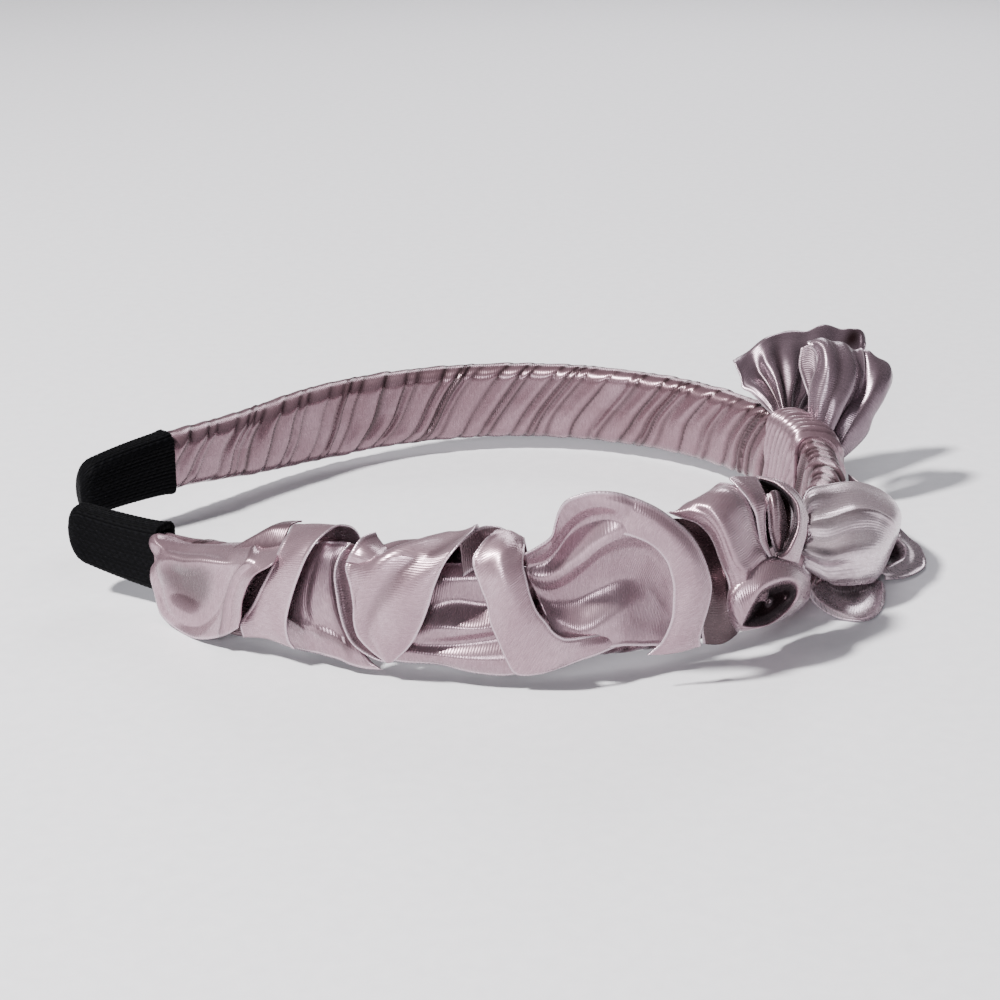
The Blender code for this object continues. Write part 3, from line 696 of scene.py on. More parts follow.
pouchRails = [
    [(181, 5.2, 1.8), (178.8, 2.4, 4.6), (175, 1, 7), (170.5, 0.4, 8.5), (165, 0.5, 9.5), (159, 2.5, 10.5),
     (153.5, 6, 12)],
    [(181, 6.4, 1.9), (178.8, 4.6, 5), (174, 4, 7.5), (169.5, 3, 8), (165, 3.5, 8.5), (159, 5.5, 10),
     (152.5, 8.5, 12.5)],
    [(181, 8.4, 1.9), (178.8, 7.6, 5), (174.5, 8, 6.4), (170, 7.5, 5.4), (165.5, 7.5, 6), (158.5, 10, 9.5),
     (151.5, 13, 13)],
    [(181, 10.8, 1.9), (178.8, 11, 5.2), (174, 12, 7.4), (169.5, 11.5, 6.2), (164.5, 12.5, 7),
     (157.5, 14.5, 9.5), (149, 18, 13)],
    [(181, 13.4, 1.9), (178.8, 14, 4.8), (175, 14.8, 6.6), (168.5, 14.6, 8.2), (163, 16, 8.7),
     (156.5, 17.5, 9.5), (145.5, 21, 12)],
    [(181, 15.4, 0.6), (179, 15.8, 3), (177, 15.6, 4.5), (171.5, 15.6, 5), (165.5, 16.6, 5.5),
     (158.5, 18.3, 6.5), (147, 22, 7)],
    [(181, 15.2, -0.8), (179, 15.2, 0), (177, 14.8, 0), (173, 14.6, 0), (168, 15.3, 0), (161, 17, 0),
     (150, 19.8, 0)],
    [(181, 11, -2.2), (179.2, 11, -3.3), (176, 11.5, -3.6), (172, 12.5, -3.8), (167, 13.5, -4),
     (160, 15, -4), (150, 17.5, -4)],
    [(181, 5.5, -2.2), (179.2, 5, -3.3), (176, 5, -3.6), (172, 5, -3.8), (167, 5, -4), (160, 5.5, -4),
     (150, 6, -4)]]
twistRails = [
    [(159, 16.4, 5.6), (155.5, 17.5, 6.2), (151.5, 19, 6.4), (147, 21, 6.2)],
    [(158.5, 18.6, 4.6), (155, 21.2, 5), (151, 23.6, 4.6), (147, 24.6, 3.8)],
    [(158, 18, 1.5), (154.5, 20.8, 1), (150.5, 23.2, 0.5), (147, 24, 0)]]
strapUnderRails = [
    [(160, 2.4, 7.5), (157.5, 6, 7.2), (154, 12, 7.4), (151, 17, 8), (148.5, 20.5, 8)],
    [(156, 2.8, 8), (154, 7, 8), (151, 13, 8.4), (148.5, 17, 8.8), (146.5, 21, 8.6)],
    [(150, 4, 8.5), (149, 8, 8.6), (147.5, 13, 8.8), (146, 17, 9.2), (145, 21, 8.8)]]
strapRails = [
    [(154, 3.5, 9), (154, 6.5, 9.5), (151, 10.5, 10), (148.5, 15, 10.3), (146.5, 19, 10), (145.5, 22.5, 9),
     (145.5, 24, 6.5), (147, 24, 2), (147, 20, -4), (145, 8, -4), (145, 4, -3.5)],
    [(148.5, 4.5, 9.5), (148, 8, 10.5), (146.5, 12, 11), (145, 16, 11.3), (143.5, 20, 11), (142, 23, 10),
     (142, 25, 7.5), (143, 25, 2), (143, 20, -4), (141, 8, -4), (141, 4, -3.5)],
    [(143, 4, 9.5), (143.5, 6, 10.5), (143.5, 9.5, 11), (142.5, 14, 11), (141, 18.5, 11),
     (139.5, 22.5, 10.5), (138, 25.5, 8.5), (136.5, 26.5, 4), (137, 21, -4), (135, 8, -4), (135, 4, -3.5)]]
panelRails = [
    [(146, 2, 6), (141, 2.5, 7), (136.5, 2.5, 7.5), (132, 1.5, 7.5), (128.5, 1.5, 7)],
    [(146.5, 5.5, 6.5), (141, 7.5, 8), (137, 7.5, 7.5), (134, 6, 7), (131.5, 3.5, 6.5)],
    [(147, 10, 6.5), (141.5, 11.5, 8), (138, 12, 7.5), (136, 11, 6.5), (134.5, 9, 6)],
    [(146, 14.5, 6.3), (141, 16, 7.5), (138, 16.5, 7), (137, 16, 6), (136, 14.5, 5.5)],
    [(144, 19, 6), (140, 20.5, 6.5), (138, 21, 6), (137, 20, 5.5), (136, 19.5, 5)],
    [(141.5, 22.5, 5), (139, 23.5, 5), (137.5, 23.5, 4.5), (136.5, 23.5, 4), (135, 23.5, 4)]]
backPanelRails = [
    [(129, 3.6, 6.6), (124.5, 3.6, 7.2), (119, 4, 7.5), (113.5, 3.1, 7.8), (108.5, 2.8, 8),
     (105, 3.4, 7.8)],
    [(129, 6, 7.2), (124, 6, 8), (119, 6, 8.5), (113.5, 5.8, 8.9), (108.5, 6, 9), (105, 6.8, 8.8)],
    [(128, 7.4, 6.6), (123.5, 7.4, 7), (118.5, 8, 7.3), (113, 8.8, 7.3), (108, 9.6, 7.2), (104.5, 10.2, 7)],
    [(126.5, 10.2, 6.8), (122, 10.6, 7.4), (117.5, 11.4, 8.3), (112.5, 11.6, 8.5), (107.5, 12.2, 7.4),
     (104.5, 12.8, 6.8)],
    [(125, 14, 6), (121, 14.4, 5.8), (116.5, 15.2, 5.2), (112, 14.8, 5.2), (107.5, 15.4, 5.8),
     (104.5, 15.6, 5.8)],
    [(124, 18.5, 5), (119.5, 19, 4.8), (115.5, 19.2, 4.8), (111.5, 19.4, 4.8), (107.5, 19.4, 4.8),
     (104.5, 19.4, 4.8)],
    [(123, 20.8, 3), (118.5, 21.2, 2.8), (115, 21.4, 2.8), (111, 21.4, 2.8), (107.5, 21.2, 2.8),
     (104.5, 21, 2.8)]]
curlRails = [
    [(127, 3.5, 8), (129.5, 4, 8.3), (132.5, 6, 8.8), (134, 8.5, 9), (135, 12, 9), (135.5, 15.5, 9),
     (136, 18.5, 8.6), (136, 20.5, 8), (135.5, 22.5, 7), (134.5, 24, 5.5)],
    [(127, 4, 7), (128.5, 4.5, 7), (131.5, 6.5, 7), (132.5, 9, 7), (133.5, 12.5, 7), (134, 15.5, 7),
     (134.2, 18.5, 6.6), (134, 20.5, 6.2), (134, 22, 5.5), (133, 23.5, 4.5)],
    [(125, 4.5, 5.5), (126, 5, 5), (128, 7, 5), (129, 10, 5), (129.5, 12.5, 5), (130, 15.5, 5),
     (130, 18.5, 5), (130, 20.5, 4.6), (130, 22, 4.4), (130, 23.5, 4)]]
bigFoldRails = [
    [(127, 4, 8.5), (129.5, 6, 9), (131.5, 8.5, 9.5), (132, 11.5, 10), (132, 14.5, 10), (132.5, 18, 10),
     (133.5, 21, 9.5), (133.5, 22, 8.5), (134.5, 22, 3), (134, 20, -3), (132, 8, -4), (132, 4, -3.5)],
    [(127, 4, 8.6), (127.5, 7, 9.8), (128.5, 11, 10.5), (129, 15, 11), (129, 19, 11), (129, 22, 10.5),
     (130, 23, 9), (131, 22.8, 4), (131.5, 21.5, 0), (130, 18, -4), (128, 8, -4), (128, 4, -3.5)],
    [(126.5, 4, 8.6), (126, 8, 10), (125.5, 12, 11), (125, 16, 11.7), (124.5, 20, 11.7), (124.5, 23, 11),
     (124.5, 25, 9.5), (125.5, 25, 5), (127, 23.5, 0), (125.5, 18, -4), (124, 8, -4), (124, 4, -3.5)],
    [(126.5, 4, 8.6), (124.5, 8, 10), (123, 12.5, 11), (121.5, 16.5, 11.7), (120.5, 20, 11.7),
     (119.5, 23.5, 11), (118.5, 26, 9.5), (118.5, 26.5, 5), (119.5, 25, 0), (118, 18, -4), (117, 8, -4),
     (117, 4, -3.5)],
    [(126, 4.5, 8.6), (123, 8, 9.8), (121, 12, 10.6), (119.5, 16.5, 11.2), (118.5, 20.5, 11.2),
     (117, 24.5, 10.8), (115, 27.5, 9.5), (113.5, 28.5, 5.5), (113, 27.5, 1), (112, 18, -4), (111, 8, -4),
     (111, 4, -3.5)]]
peakRails = [
    [(133.4, 22, 9), (132.6, 24, 8.6), (131.8, 25.8, 6.6), (131.2, 25.4, 2.4)],
    [(131.4, 22, 9.2), (130.8, 23.6, 9), (130.2, 24.6, 7), (130, 24.3, 3)],
    [(129, 21.8, 9.4), (128.4, 22.8, 9), (128, 23.4, 7.4), (128.2, 23, 4)]]
# The cross strap comes over the band, down the front, and turns along the bottom as the wave's lip
crossRails = [
    [(108.5, 4, -3.5), (108.5, 8, -4), (109, 20, -4), (109.5, 27, 1), (110.5, 28, 5), (112.2, 26.6, 7.5),
     (113.2, 24.4, 9.2), (112, 20, 10), (111, 17, 10.2), (110.5, 13.5, 10.2), (109.5, 10.5, 10),
     (108, 6, 9.5), (106.5, 3.4, 9.1), (103, 3.6, 9.3), (99.8, 4.7, 9.3), (97, 5.8, 9.2), (94, 6.6, 8.8),
     (91, 7, 7.4)],
    [(106.5, 4, -3.5), (106.5, 8, -4), (107, 20, -4), (107.5, 26.5, 0), (108, 27.4, 4.6),
     (108.6, 26.4, 8.6), (109, 24, 10.6), (108.5, 21, 11.3), (107.5, 18, 11.3), (106.5, 15, 11.2),
     (105.5, 12.5, 11), (104, 9.5, 10.8), (102, 7.5, 10.6), (99.8, 7, 10.4), (98, 7.6, 9.8),
     (96.2, 8.2, 9.5), (93.5, 8.4, 8.7), (91, 8.2, 7.1)],
    [(104, 4, -3.5), (104, 8, -4), (104.5, 20, -4), (105.2, 25.4, 0), (105.2, 26, 4.4), (105.4, 25.6, 8),
     (105.5, 24, 9.5), (105, 21.5, 10), (104.5, 19, 10.2), (103.5, 16, 10.3), (102.2, 14, 10.4),
     (101, 12, 10.4), (99.6, 10.8, 10.2), (98.2, 10.4, 9.7), (96.8, 10.3, 9.2), (94, 10.1, 8.2),
     (91, 9.8, 6.5)]]
tailRails = [
    [(115.8, 26.7, 6), (113.8, 28.1, 4), (111.8, 28.2, 2), (109.5, 27.5, 1), (107, 26.1, 1)],
    [(115.5, 24.7, 5.5), (113.5, 26.2, 4.2), (111.5, 26.7, 3), (109.2, 26.8, 2.5), (107.2, 25.7, 2.5)],
    [(115.2, 19.8, 5), (113.2, 21.2, 4.4), (111, 22, 3.6), (109.2, 22.8, 3.4), (107.5, 22, 3.4)]]
hollowRails = [
    [(105.5, 25.5, 8), (103.5, 27, 8.5), (101.5, 29, 9), (101, 31.5, 9.5), (100.5, 34, 10),
     (99.5, 36, 10.5), (97.5, 37.2, 11), (95, 37.8, 11.5), (92, 37.4, 12), (89, 35.6, 12), (86, 32.6, 11.5),
     (83.6, 29, 10.5), (81.8, 25.5, 9.5), (80.4, 21, 8.6), (79.6, 16, 8), (79, 12, 7.6)],
    [(105.3, 24, 7), (103.8, 24.6, 7), (101.6, 26, 7.4), (100.4, 28.6, 7.8), (99.4, 31, 8.6),
     (98, 33.2, 9.6), (96.2, 34.8, 10.6), (94, 35.4, 11.8), (91.5, 35, 12.6), (89, 33.4, 12.2),
     (86.2, 30.8, 11.2), (84, 27.6, 9.8), (82.2, 24.2, 8.6), (80.8, 20, 7.8), (79.8, 15.4, 7.4),
     (79.2, 11.4, 7)],
    [(105, 22.8, 6.2), (103.8, 22.6, 5.6), (101.8, 23.4, 5.4), (100, 25.4, 5.4), (98.6, 27.8, 5.8),
     (97, 30, 6.8), (95, 31.8, 8.6), (93, 32.6, 10.4), (91, 32.2, 11.6), (88.8, 30.8, 11.4),
     (86.2, 28.8, 10), (84, 26, 8.8), (82.4, 22.8, 7.8), (81, 19, 7.2), (80, 14.6, 6.8), (79.4, 10.8, 6.6)],
    [(105, 21.5, 6.4), (104, 20.6, 6.4), (102, 20.4, 6.6), (100, 21.6, 7.2), (98.4, 23.4, 8.2),
     (96.5, 25.4, 9.4), (95, 27.4, 10.4), (93.3, 28.8, 11.2), (91.3, 29.4, 11.4), (89, 28.6, 10.4),
     (86.4, 27, 9), (84.2, 24.6, 8), (82.6, 21.6, 7.2), (81.2, 18, 6.6), (80.2, 13.8, 6.4),
     (79.6, 10.2, 6.2)],
    [(104, 18.5, 6), (102.5, 17.8, 5.6), (100.5, 17.8, 5.4), (98.5, 18.8, 5.4), (96.6, 20.6, 5.8),
     (95, 22.4, 6.4), (93.4, 24, 7), (91.6, 25, 7.2), (89.8, 25.2, 7), (88, 24.8, 6.8), (86, 23.4, 6.4),
     (84.2, 21.4, 6), (82.8, 18.8, 5.8), (81.6, 15.8, 5.6), (80.6, 12.4, 5.6), (79.8, 9.4, 5.6)],
    [(103, 16, 6.2), (101.6, 15.4, 5.6), (99.8, 15.2, 5.4), (98, 15.4, 5.2), (96.2, 16, 5), (94.4, 17, 4.8),
     (92.6, 18, 4.8), (91, 18.8, 4.8), (89.4, 19.2, 4.8), (87.8, 19, 4.8), (86.2, 18, 4.8),
     (84.6, 16.6, 4.8), (83.2, 14.8, 4.8), (82, 12.8, 5), (81, 10.6, 5.2), (80, 8.6, 5.4)],
    [(102, 13.5, 7.2), (100.4, 12.6, 7), (98.8, 11.6, 7.4), (97, 11, 7.8), (95.2, 11.4, 8),
     (93.4, 12.2, 7.8), (91.6, 13, 7.4), (90, 13.6, 7), (88.2, 13.8, 6.4), (86.6, 13.4, 5.8),
     (85.2, 12.6, 5.4), (84, 11.6, 5.2), (82.8, 10.6, 5.2), (81.8, 9.6, 5.4), (80.8, 8.6, 5.6),
     (80, 7.6, 5.8)],
    [(100.5, 10, 8), (99, 9, 7.8), (97.5, 8, 7.7), (96, 7.3, 7.8), (94.5, 7, 7.9), (93, 7.1, 7.8),
     (91.5, 7.2, 7.6), (90, 7.2, 7.4), (88.6, 6.9, 7), (87.2, 6.5, 6.6), (86, 6.2, 6.4), (84.8, 6, 6.2),
     (83.6, 5.8, 6.2), (82.4, 5.7, 6.4), (81.2, 5.6, 6.6), (80.2, 5.6, 6.8)]]
rimRails = [
    [(93, 37, 11.2), (90.5, 36.7, 12), (88, 35.4, 12.7), (86, 33.9, 13.2), (83.6, 31.4, 13.6),
     (81.5, 28.6, 13.9), (80, 25.3, 14.2), (79, 22, 14.4), (78.5, 19.2, 14.5), (78.8, 16, 14.5),
     (79.3, 12.5, 14), (79.5, 9.5, 13.3), (79, 7.4, 12.5)],
    [(93, 34.8, 11.5), (90.6, 34.2, 12.7), (88.4, 33.2, 13.6), (86.2, 31.4, 14.3), (84.2, 29.2, 14.8),
     (82.7, 26.8, 15.1), (81.4, 24, 15.3), (80.7, 21.2, 15.4), (80.4, 18.6, 15.4), (80.5, 15.6, 15.1),
     (81, 12.4, 14.5), (81.6, 9.4, 13.7), (81.8, 7, 12.7)],
    [(93, 32.2, 10.1), (91, 31.8, 12), (89, 31, 13.2), (87, 29.4, 14), (85.2, 27.6, 14.6),
     (83.9, 25.4, 14.9), (82.9, 23, 15), (82.3, 20.6, 15), (82.2, 17.8, 14.9), (82.3, 14.9, 14.5),
     (82.8, 11.8, 13.9), (83.6, 8.8, 13.1), (84.4, 6.8, 12.2)],
    [(92.6, 29.6, 10.6), (90.8, 29.6, 11.8), (89.2, 29, 12.4), (87.6, 28, 12.9), (86.2, 26.4, 13.2),
     (85.1, 24.4, 13.4), (84.5, 22.2, 13.5), (84.1, 19.8, 13.5), (84, 17, 13.3), (84, 14, 13),
     (84.6, 11, 12.5), (85.6, 8.6, 12), (87.2, 7, 11.6)]]


def pouchRelief(u, v, wide, long):
    tucks = 0.6 * np.sin(u * 24 + 1.2) * np.exp(-((v - 0.04) / 0.09) ** 2)      # gathered into the sleeve
    groove = 0.4 * step(v, 0.80, 0.845) * (1 - step(v, 0.845, 0.86))
    border = 0.6 * step(v, 0.855, 0.88) - groove      # selvedge band
    away = dishAway(u, v)
    dish = 1.0 * np.exp(-((away - 0.85) / 0.18) ** 2) - 1.2 * np.exp(-(away / 0.55) ** 2)
    return tucks + border + dish + 0.15 * waver(31, u * 5, v * 4)


def dishAway(u, v):
    # how far from the middle of the pouch's dent, 1 at its rim
    return np.hypot((u - 0.28) / 0.28, (v - 0.44) / 0.38)


def pouchPaintedShade(u, v):
    # painted shade: darker in the middle of the dent and along the groove before the border band
    return 0.3 * np.exp(-(dishAway(u, v) / 0.6) ** 2) + 0.35 * np.exp(-((v - 0.845) / 0.012) ** 2)


def bigFoldRelief(u, v, wide, long):
    streaks = crease(u, v, (0.9, 0.50), (0.15, 0.12), 0.07, -0.7)
    streaks = streaks + crease(u, v, (0.75, 0.56), (0.1, 0.26), 0.06, 0.65)
    return streaks + crease(u, v, (0.5, 0.55), (0.05, 0.42), 0.06, -0.6) + 0.12 * waver(33, u * 6, v * 6)


def panelRelief(u, v, wide, long):
    folds = crease(u, v, (0.05, 0.35), (0.75, 0.45), 0.06, 0.35)
    folds = folds + crease(u, v, (0.02, 0.7), (0.55, 0.75), 0.06, -0.4)
    return folds + crease(u, v, (0.30, 0.1), (0.12, 0.95), 0.05, -0.45) + 0.15 * waver(34, u * 6, v * 4)


def paintedShadeFrom(low, high, depth):
    # painted shade on a ribbon's underside, darker across its width from low to high
    return lambda u, v: depth * step(u, low, high)


# Each row: name, rails, grid size, relief, how much painted shade it gets, CAD nodes it stands for, flat size
# in metres and, for a strip narrower than its flat size, the share of that area it really has.
ruffle = [
    ("rufflePouch", pouchRails, (110, 96), pouchRelief, pouchPaintedShade, ["ruffle_pouch"], (0.040, 0.033)),
    ("rufflePouchTwist", twistRails, (24, 40), puckers(40, 1.6, 0.4), 0.5, [], (0.010, 0.013), 0.75),
    ("ruffleStrapUnder", strapUnderRails, (24, 50), None, 0.8, [], (0.010, 0.020), 0.7),
    ("ruffleStrap", strapRails, (44, 130), puckers(41, 2.6, 0.16), 0.0, ["ruffle_strap"], (0.010, 0.050)),
    ("ruffleUnderPanel", panelRails, (70, 60), panelRelief, 0.15, ["ruffle_under_panel"], (0.024, 0.013)),
    ("ruffleBackPanel", backPanelRails, (80, 70), puckers(46, 2.2, 0.16, 0.1), 0.15, [], (0.024, 0.024)),
    ("ruffleCurl", curlRails, (24, 90), None, 0.25, [], (0.010, 0.024), 0.65),
    ("ruffleBigFold", bigFoldRails, (90, 120), bigFoldRelief, 0.0, ["ruffle_big_fold"], (0.019, 0.050)),
    ("rufflePeak", peakRails, (24, 40), None, 0.0, [], (0.010, 0.011), 0.35),
    ("ruffleCrossStrap", crossRails, (44, 200), puckers(43, 3.0, 0.16), 0.0, ["ruffle_cross_strap"],
     (0.010, 0.070), 0.65),
    ("ruffleCrossTail", tailRails, (20, 40), None, 0.7, [], (0.010, 0.014), 0.42),
    ("ruffleWaveHollow", hollowRails, (110, 110), puckers(44, 5.0, 0.10, 0.6), 0.05, ["ruffle_wave_bowl"],
     (0.026, 0.044)),
    ("ruffleWaveRim", rimRails, (40, 150), puckers(45, 3.0, 0.14), 0.0, ["ruffle_wave_rim"],
     (0.010, 0.040), 0.65),
]


def sewPieces(rows, place, cloth):
    for name, rails, size, relief, paintedShade, nodes, flat, *share in rows:
        piece = finish(ribbon(name, rails, size, place, relief, cloth, paintedShade), "ruffled_leg", nodes)


sewPieces(ruffle, onRuffledLeg, ruffleSatin)
print("ruffle folded")

# rosette

scrollRails = [
    [(82, 30.1, 5), (80, 29.3, 7), (78.5, 28.8, 8.5), (77, 27.2, 9.5), (76, 25.1, 10), (75.2, 22.4, 10.3),
     (74.5, 19.8, 10.8), (73.8, 17.5, 11), (73.5, 14.6, 11), (73.8, 12.2, 11)],
    [(80.8, 30.6, 6), (79.2, 31.3, 8.5), (78, 31.1, 10.5), (77, 30, 12), (76.2, 28.1, 12.8),
     (75.2, 25, 13.3), (74.2, 22.1, 13.5), (73, 20, 13.5), (72.8, 16.1, 13), (73, 12.6, 12.5)],
    [(78.8, 31.4, 5.5), (77.5, 32.7, 8), (76.5, 32.6, 10.5), (75, 31.1, 11.8), (73.8, 28.5, 12.2),
     (73, 25.5, 12.6), (72, 22.7, 12.8), (71, 20.3, 13), (71, 16.2, 12.8), (71.5, 11.5, 12.3)],
    [(75, 31.5, 4), (74.2, 33.4, 6.5), (73.5, 33.8, 9), (72.5, 32.2, 10.6), (71.5, 29.5, 11.2),
     (70.5, 26.5, 11.4), (69.8, 23.8, 11.8), (68.5, 21.3, 12.3), (68.2, 17.9, 12), (68.2, 12.5, 11)],
    [(70.5, 32.9, 3), (70, 33.2, 5.5), (69.8, 32.6, 7.5), (69.2, 30.9, 8.8), (68.5, 28.6, 9.5),
     (68, 25.9, 10), (67.5, 23.5, 10.6), (66.8, 21, 11.4), (65.5, 16.8, 11), (65.2, 11.3, 10)]]
leafRails = [
    [(70.2, 34.4, 5), (70, 33.1, 7.5), (69.2, 31, 9.2), (68.5, 28.7, 9.9), (68.2, 26.1, 10.4),
     (67.8, 23.2, 11), (66.5, 20.5, 11.6)],
    [(68.2, 34, 4.5), (68.2, 33.1, 7), (68, 31.6, 9), (68, 29.3, 10), (67.8, 26.4, 10.5), (67.2, 23.4, 11),
     (66.2, 20.6, 11.6)],
    [(62.2, 32.2, 3), (63.5, 31.5, 5.5), (64.8, 29.9, 8.6), (65.8, 28.2, 9.4), (66.2, 25.8, 10),
     (66.2, 23, 10.6), (65.5, 20.1, 11.3)]]
eyeRails = [
    [(60, 31.1, 1), (58.2, 30.7, 2.5), (57.2, 30.3, 4.5), (56.5, 29.1, 6.5), (55.8, 27, 8), (56, 24.3, 9.2),
     (57, 21.7, 10), (58.8, 19.4, 10.8), (60, 17.4, 11.2)],
    [(60.8, 31.5, 2), (59.5, 31.2, 4), (58.8, 30.4, 6.2), (58.2, 28.9, 8.2), (58, 27, 9.6),
     (58.8, 24.7, 10.6), (59.8, 22.1, 11.2), (61.5, 20.3, 11.8), (63, 19.1, 12)],
    [(60.8, 31.5, 2.5), (59.8, 31, 5), (59.8, 30.3, 7.4), (59.2, 28.6, 9.2), (59.5, 26.9, 10.4),
     (60.2, 24.4, 11.2), (62, 22.1, 11.8), (63.5, 20.7, 12), (65.2, 20.4, 12)],
    [(58.5, 30.1, 1), (56, 28.7, 2), (55.2, 27.5, 3.5), (54.5, 25.6, 4.5), (54.5, 23.9, 5.5),
     (55.2, 21.5, 6), (57, 19.4, 6.5), (59, 18.5, 7), (61, 18.1, 7.4)]]
eyeCurlRails = [
    [(64.5, 30.8, 8), (64.8, 29.3, 8.5), (65, 27.5, 9), (65, 25.3, 9.3), (64.8, 23, 9.7), (64, 20.3, 10)],
    [(63, 31.2, 8), (64, 29.8, 9.6), (64, 27.6, 10.2), (64, 25.3, 10.4), (63.5, 22.8, 10.5),
     (63.5, 20.4, 10.4)],
    [(59.5, 29.3, 6), (60, 27.8, 7.5), (60, 25.9, 8.2), (60, 23.6, 8.6), (60.8, 21.6, 9), (62, 19.9, 9.6)]]
tubeRails = [
    [(72, 15.8, 9), (69.5, 19.1, 9.5), (66, 20, 10), (61.8, 18.4, 10), (57, 15.1, 9.5), (53.8, 11, 9),
     (53.2, 7.5, 8.5), (56, 5.9, 8), (61, 5.5, 8), (66.2, 5.7, 8), (70, 6.7, 8), (72, 10.9, 8.5)],
    [(74, 16.2, 12.5), (71.2, 19.4, 13), (68.2, 20.4, 13.3), (64.5, 19.1, 13.2), (61.2, 16.7, 12.8),
     (58.5, 13.2, 12), (58.5, 9.9, 11.5), (60.8, 8.2, 11), (64.8, 7.6, 11), (68.8, 7.5, 11),
     (71.8, 8.5, 11.5), (73.8, 12.6, 12)],
    [(73, 12.3, 14.5), (71.8, 15.2, 15), (70.5, 17.1, 15.3), (68.2, 17.7, 15.3), (65.5, 17.3, 15),
     (63.2, 15.7, 14.4), (62, 13.5, 13.8), (62, 11.3, 13.2), (64, 9.6, 13), (67, 8.5, 13),
     (70.2, 8.9, 13.2), (72.8, 10.1, 13.8)],
    [(70.5, 10.7, 12), (69.2, 13.1, 12), (67.8, 14.5, 12), (65.5, 14.9, 12), (63.2, 14.7, 12),
     (61.2, 13.4, 11.6), (60.2, 11.9, 11.2), (60.8, 10.3, 11), (62.5, 8.9, 10.8), (65.5, 7.9, 10.6),
     (68.5, 8.2, 10.8), (70.8, 9.2, 11.4)],
    [(65.2, 8.5, 7), (64, 9.9, 7), (62.8, 10.7, 7), (60.8, 10.8, 7), (58.8, 10.6, 7), (57.5, 9.8, 7),
     (57.2, 9, 7), (57.8, 8.1, 7), (59.8, 7.6, 7), (62.2, 6.9, 7), (64.2, 7, 7), (65.5, 7.7, 7)],
    [(61.2 + 0.5 * math.cos(k * math.pi / 6), 8.8 + 0.5 * math.sin(k * math.pi / 6), 6) for k in range(12)]]
eyeBackRails = [
    [(66.5, 31, 4), (66.5, 27, 5), (66, 23, 6), (65, 19.5, 7)],
    [(62.5, 31.2, 2.4), (61, 27.8, 3.2), (60.5, 24, 4.4), (61.3, 19, 5.8)],
    [(58.5, 30.3, 0.8), (55, 27.8, 2.8), (54.2, 24.5, 4.8), (56.5, 19.8, 6.2)]]
underfoldRails = [
    [(81.2, 29, 5), (79.5, 27.4, 6), (77.8, 24.3, 6.5), (76.5, 20.9, 7), (75.8, 17.4, 7), (75.5, 13.9, 7),
     (75.8, 10.5, 7), (76, 7.9, 7), (75.5, 4.7, 7)],
    [(79, 28.5, 5), (77, 26.3, 6), (75.5, 23.3, 6.8), (74.2, 19.8, 7.2), (73.5, 16.3, 7.4),
     (73.2, 12.9, 7.6), (73.2, 10, 8), (73.2, 7.2, 8), (72.5, 4.5, 8)],
    [(76.5, 27.5, 5), (75, 25.7, 6.4), (73.2, 22.3, 7.2), (72.2, 18.9, 7.8), (71.5, 15.4, 8.2),
     (71.5, 12.6, 8.8), (71.5, 10.1, 9.4), (70.8, 7.8, 9.4), (69.8, 6.4, 9)]]


def loopRibbon(name, rails, size, place, material):
    # a ribbon whose length closes on itself, with painted shade inside
    across, along = int(size[0] * fine), int(size[1] * fine)
    lines = np.stack([curveThrough(rail, along + 1, ring=True)[:-1] for rail in rails])
    grid = place(np.stack([curveThrough(lines[:, k], across) for k in range(along)], 1))
    shade = 0.88 * step(np.linspace(0, 1, across), 0.48, 0.62)
    return meshFromGrid(name, grid, material, ringAlong=True, thick=0.3, hem=0.7, shade=shade[:, None])


def scrollRelief(u, v, wide, long):
    return crease(u, v, (0.25, 0.15), (0.25, 0.9), 0.05, 0.4) + 0.15 * waver(51, u * 6, v * 3)


rosette = [
    ("rosetteScroll", scrollRails, (70, 90), scrollRelief, 0.05, ["rosette_scroll"], (0.016, 0.026)),
    ("rosetteLeaf", leafRails, (24, 60), None, 0.0, [], (0.010, 0.018), 0.4),
    ("rosetteEyeLoop", eyeRails, (44, 110), None, paintedShadeFrom(0.36, 0.58, 1.0), ["rosette_eye_loop"],
     (0.012, 0.018)),
    ("rosetteEyeCurl", eyeCurlRails, (24, 60), None, 0.55, [], (0.010, 0.012), 0.6),
    # the eye's back and the underfold are sheets nearly all in painted shade, for the dark gaps behind the
    # eye loop and between the scroll and the wave's rim
    ("rosetteEyeBack", eyeBackRails, (20, 30), None, 1.0, [], (0.011, 0.012)),
    ("rosetteUnderfold", underfoldRails, (40, 90), puckers(52, 2.0, 0.3), 0.9, [], (0.010, 0.028), 0.45),
]
sewPieces(rosette, onRuffledLeg, ruffleSatin)
rosetteTube = finish(loopRibbon("rosetteTubeLoop", tubeRails, (70, 150), onRuffledLeg, ruffleSatin),
                     "ruffled_leg", ["rosette_tube_loop"])
print("rosette rolled")

# bow; rails are (x, y, z) in mm from the hoop's crown

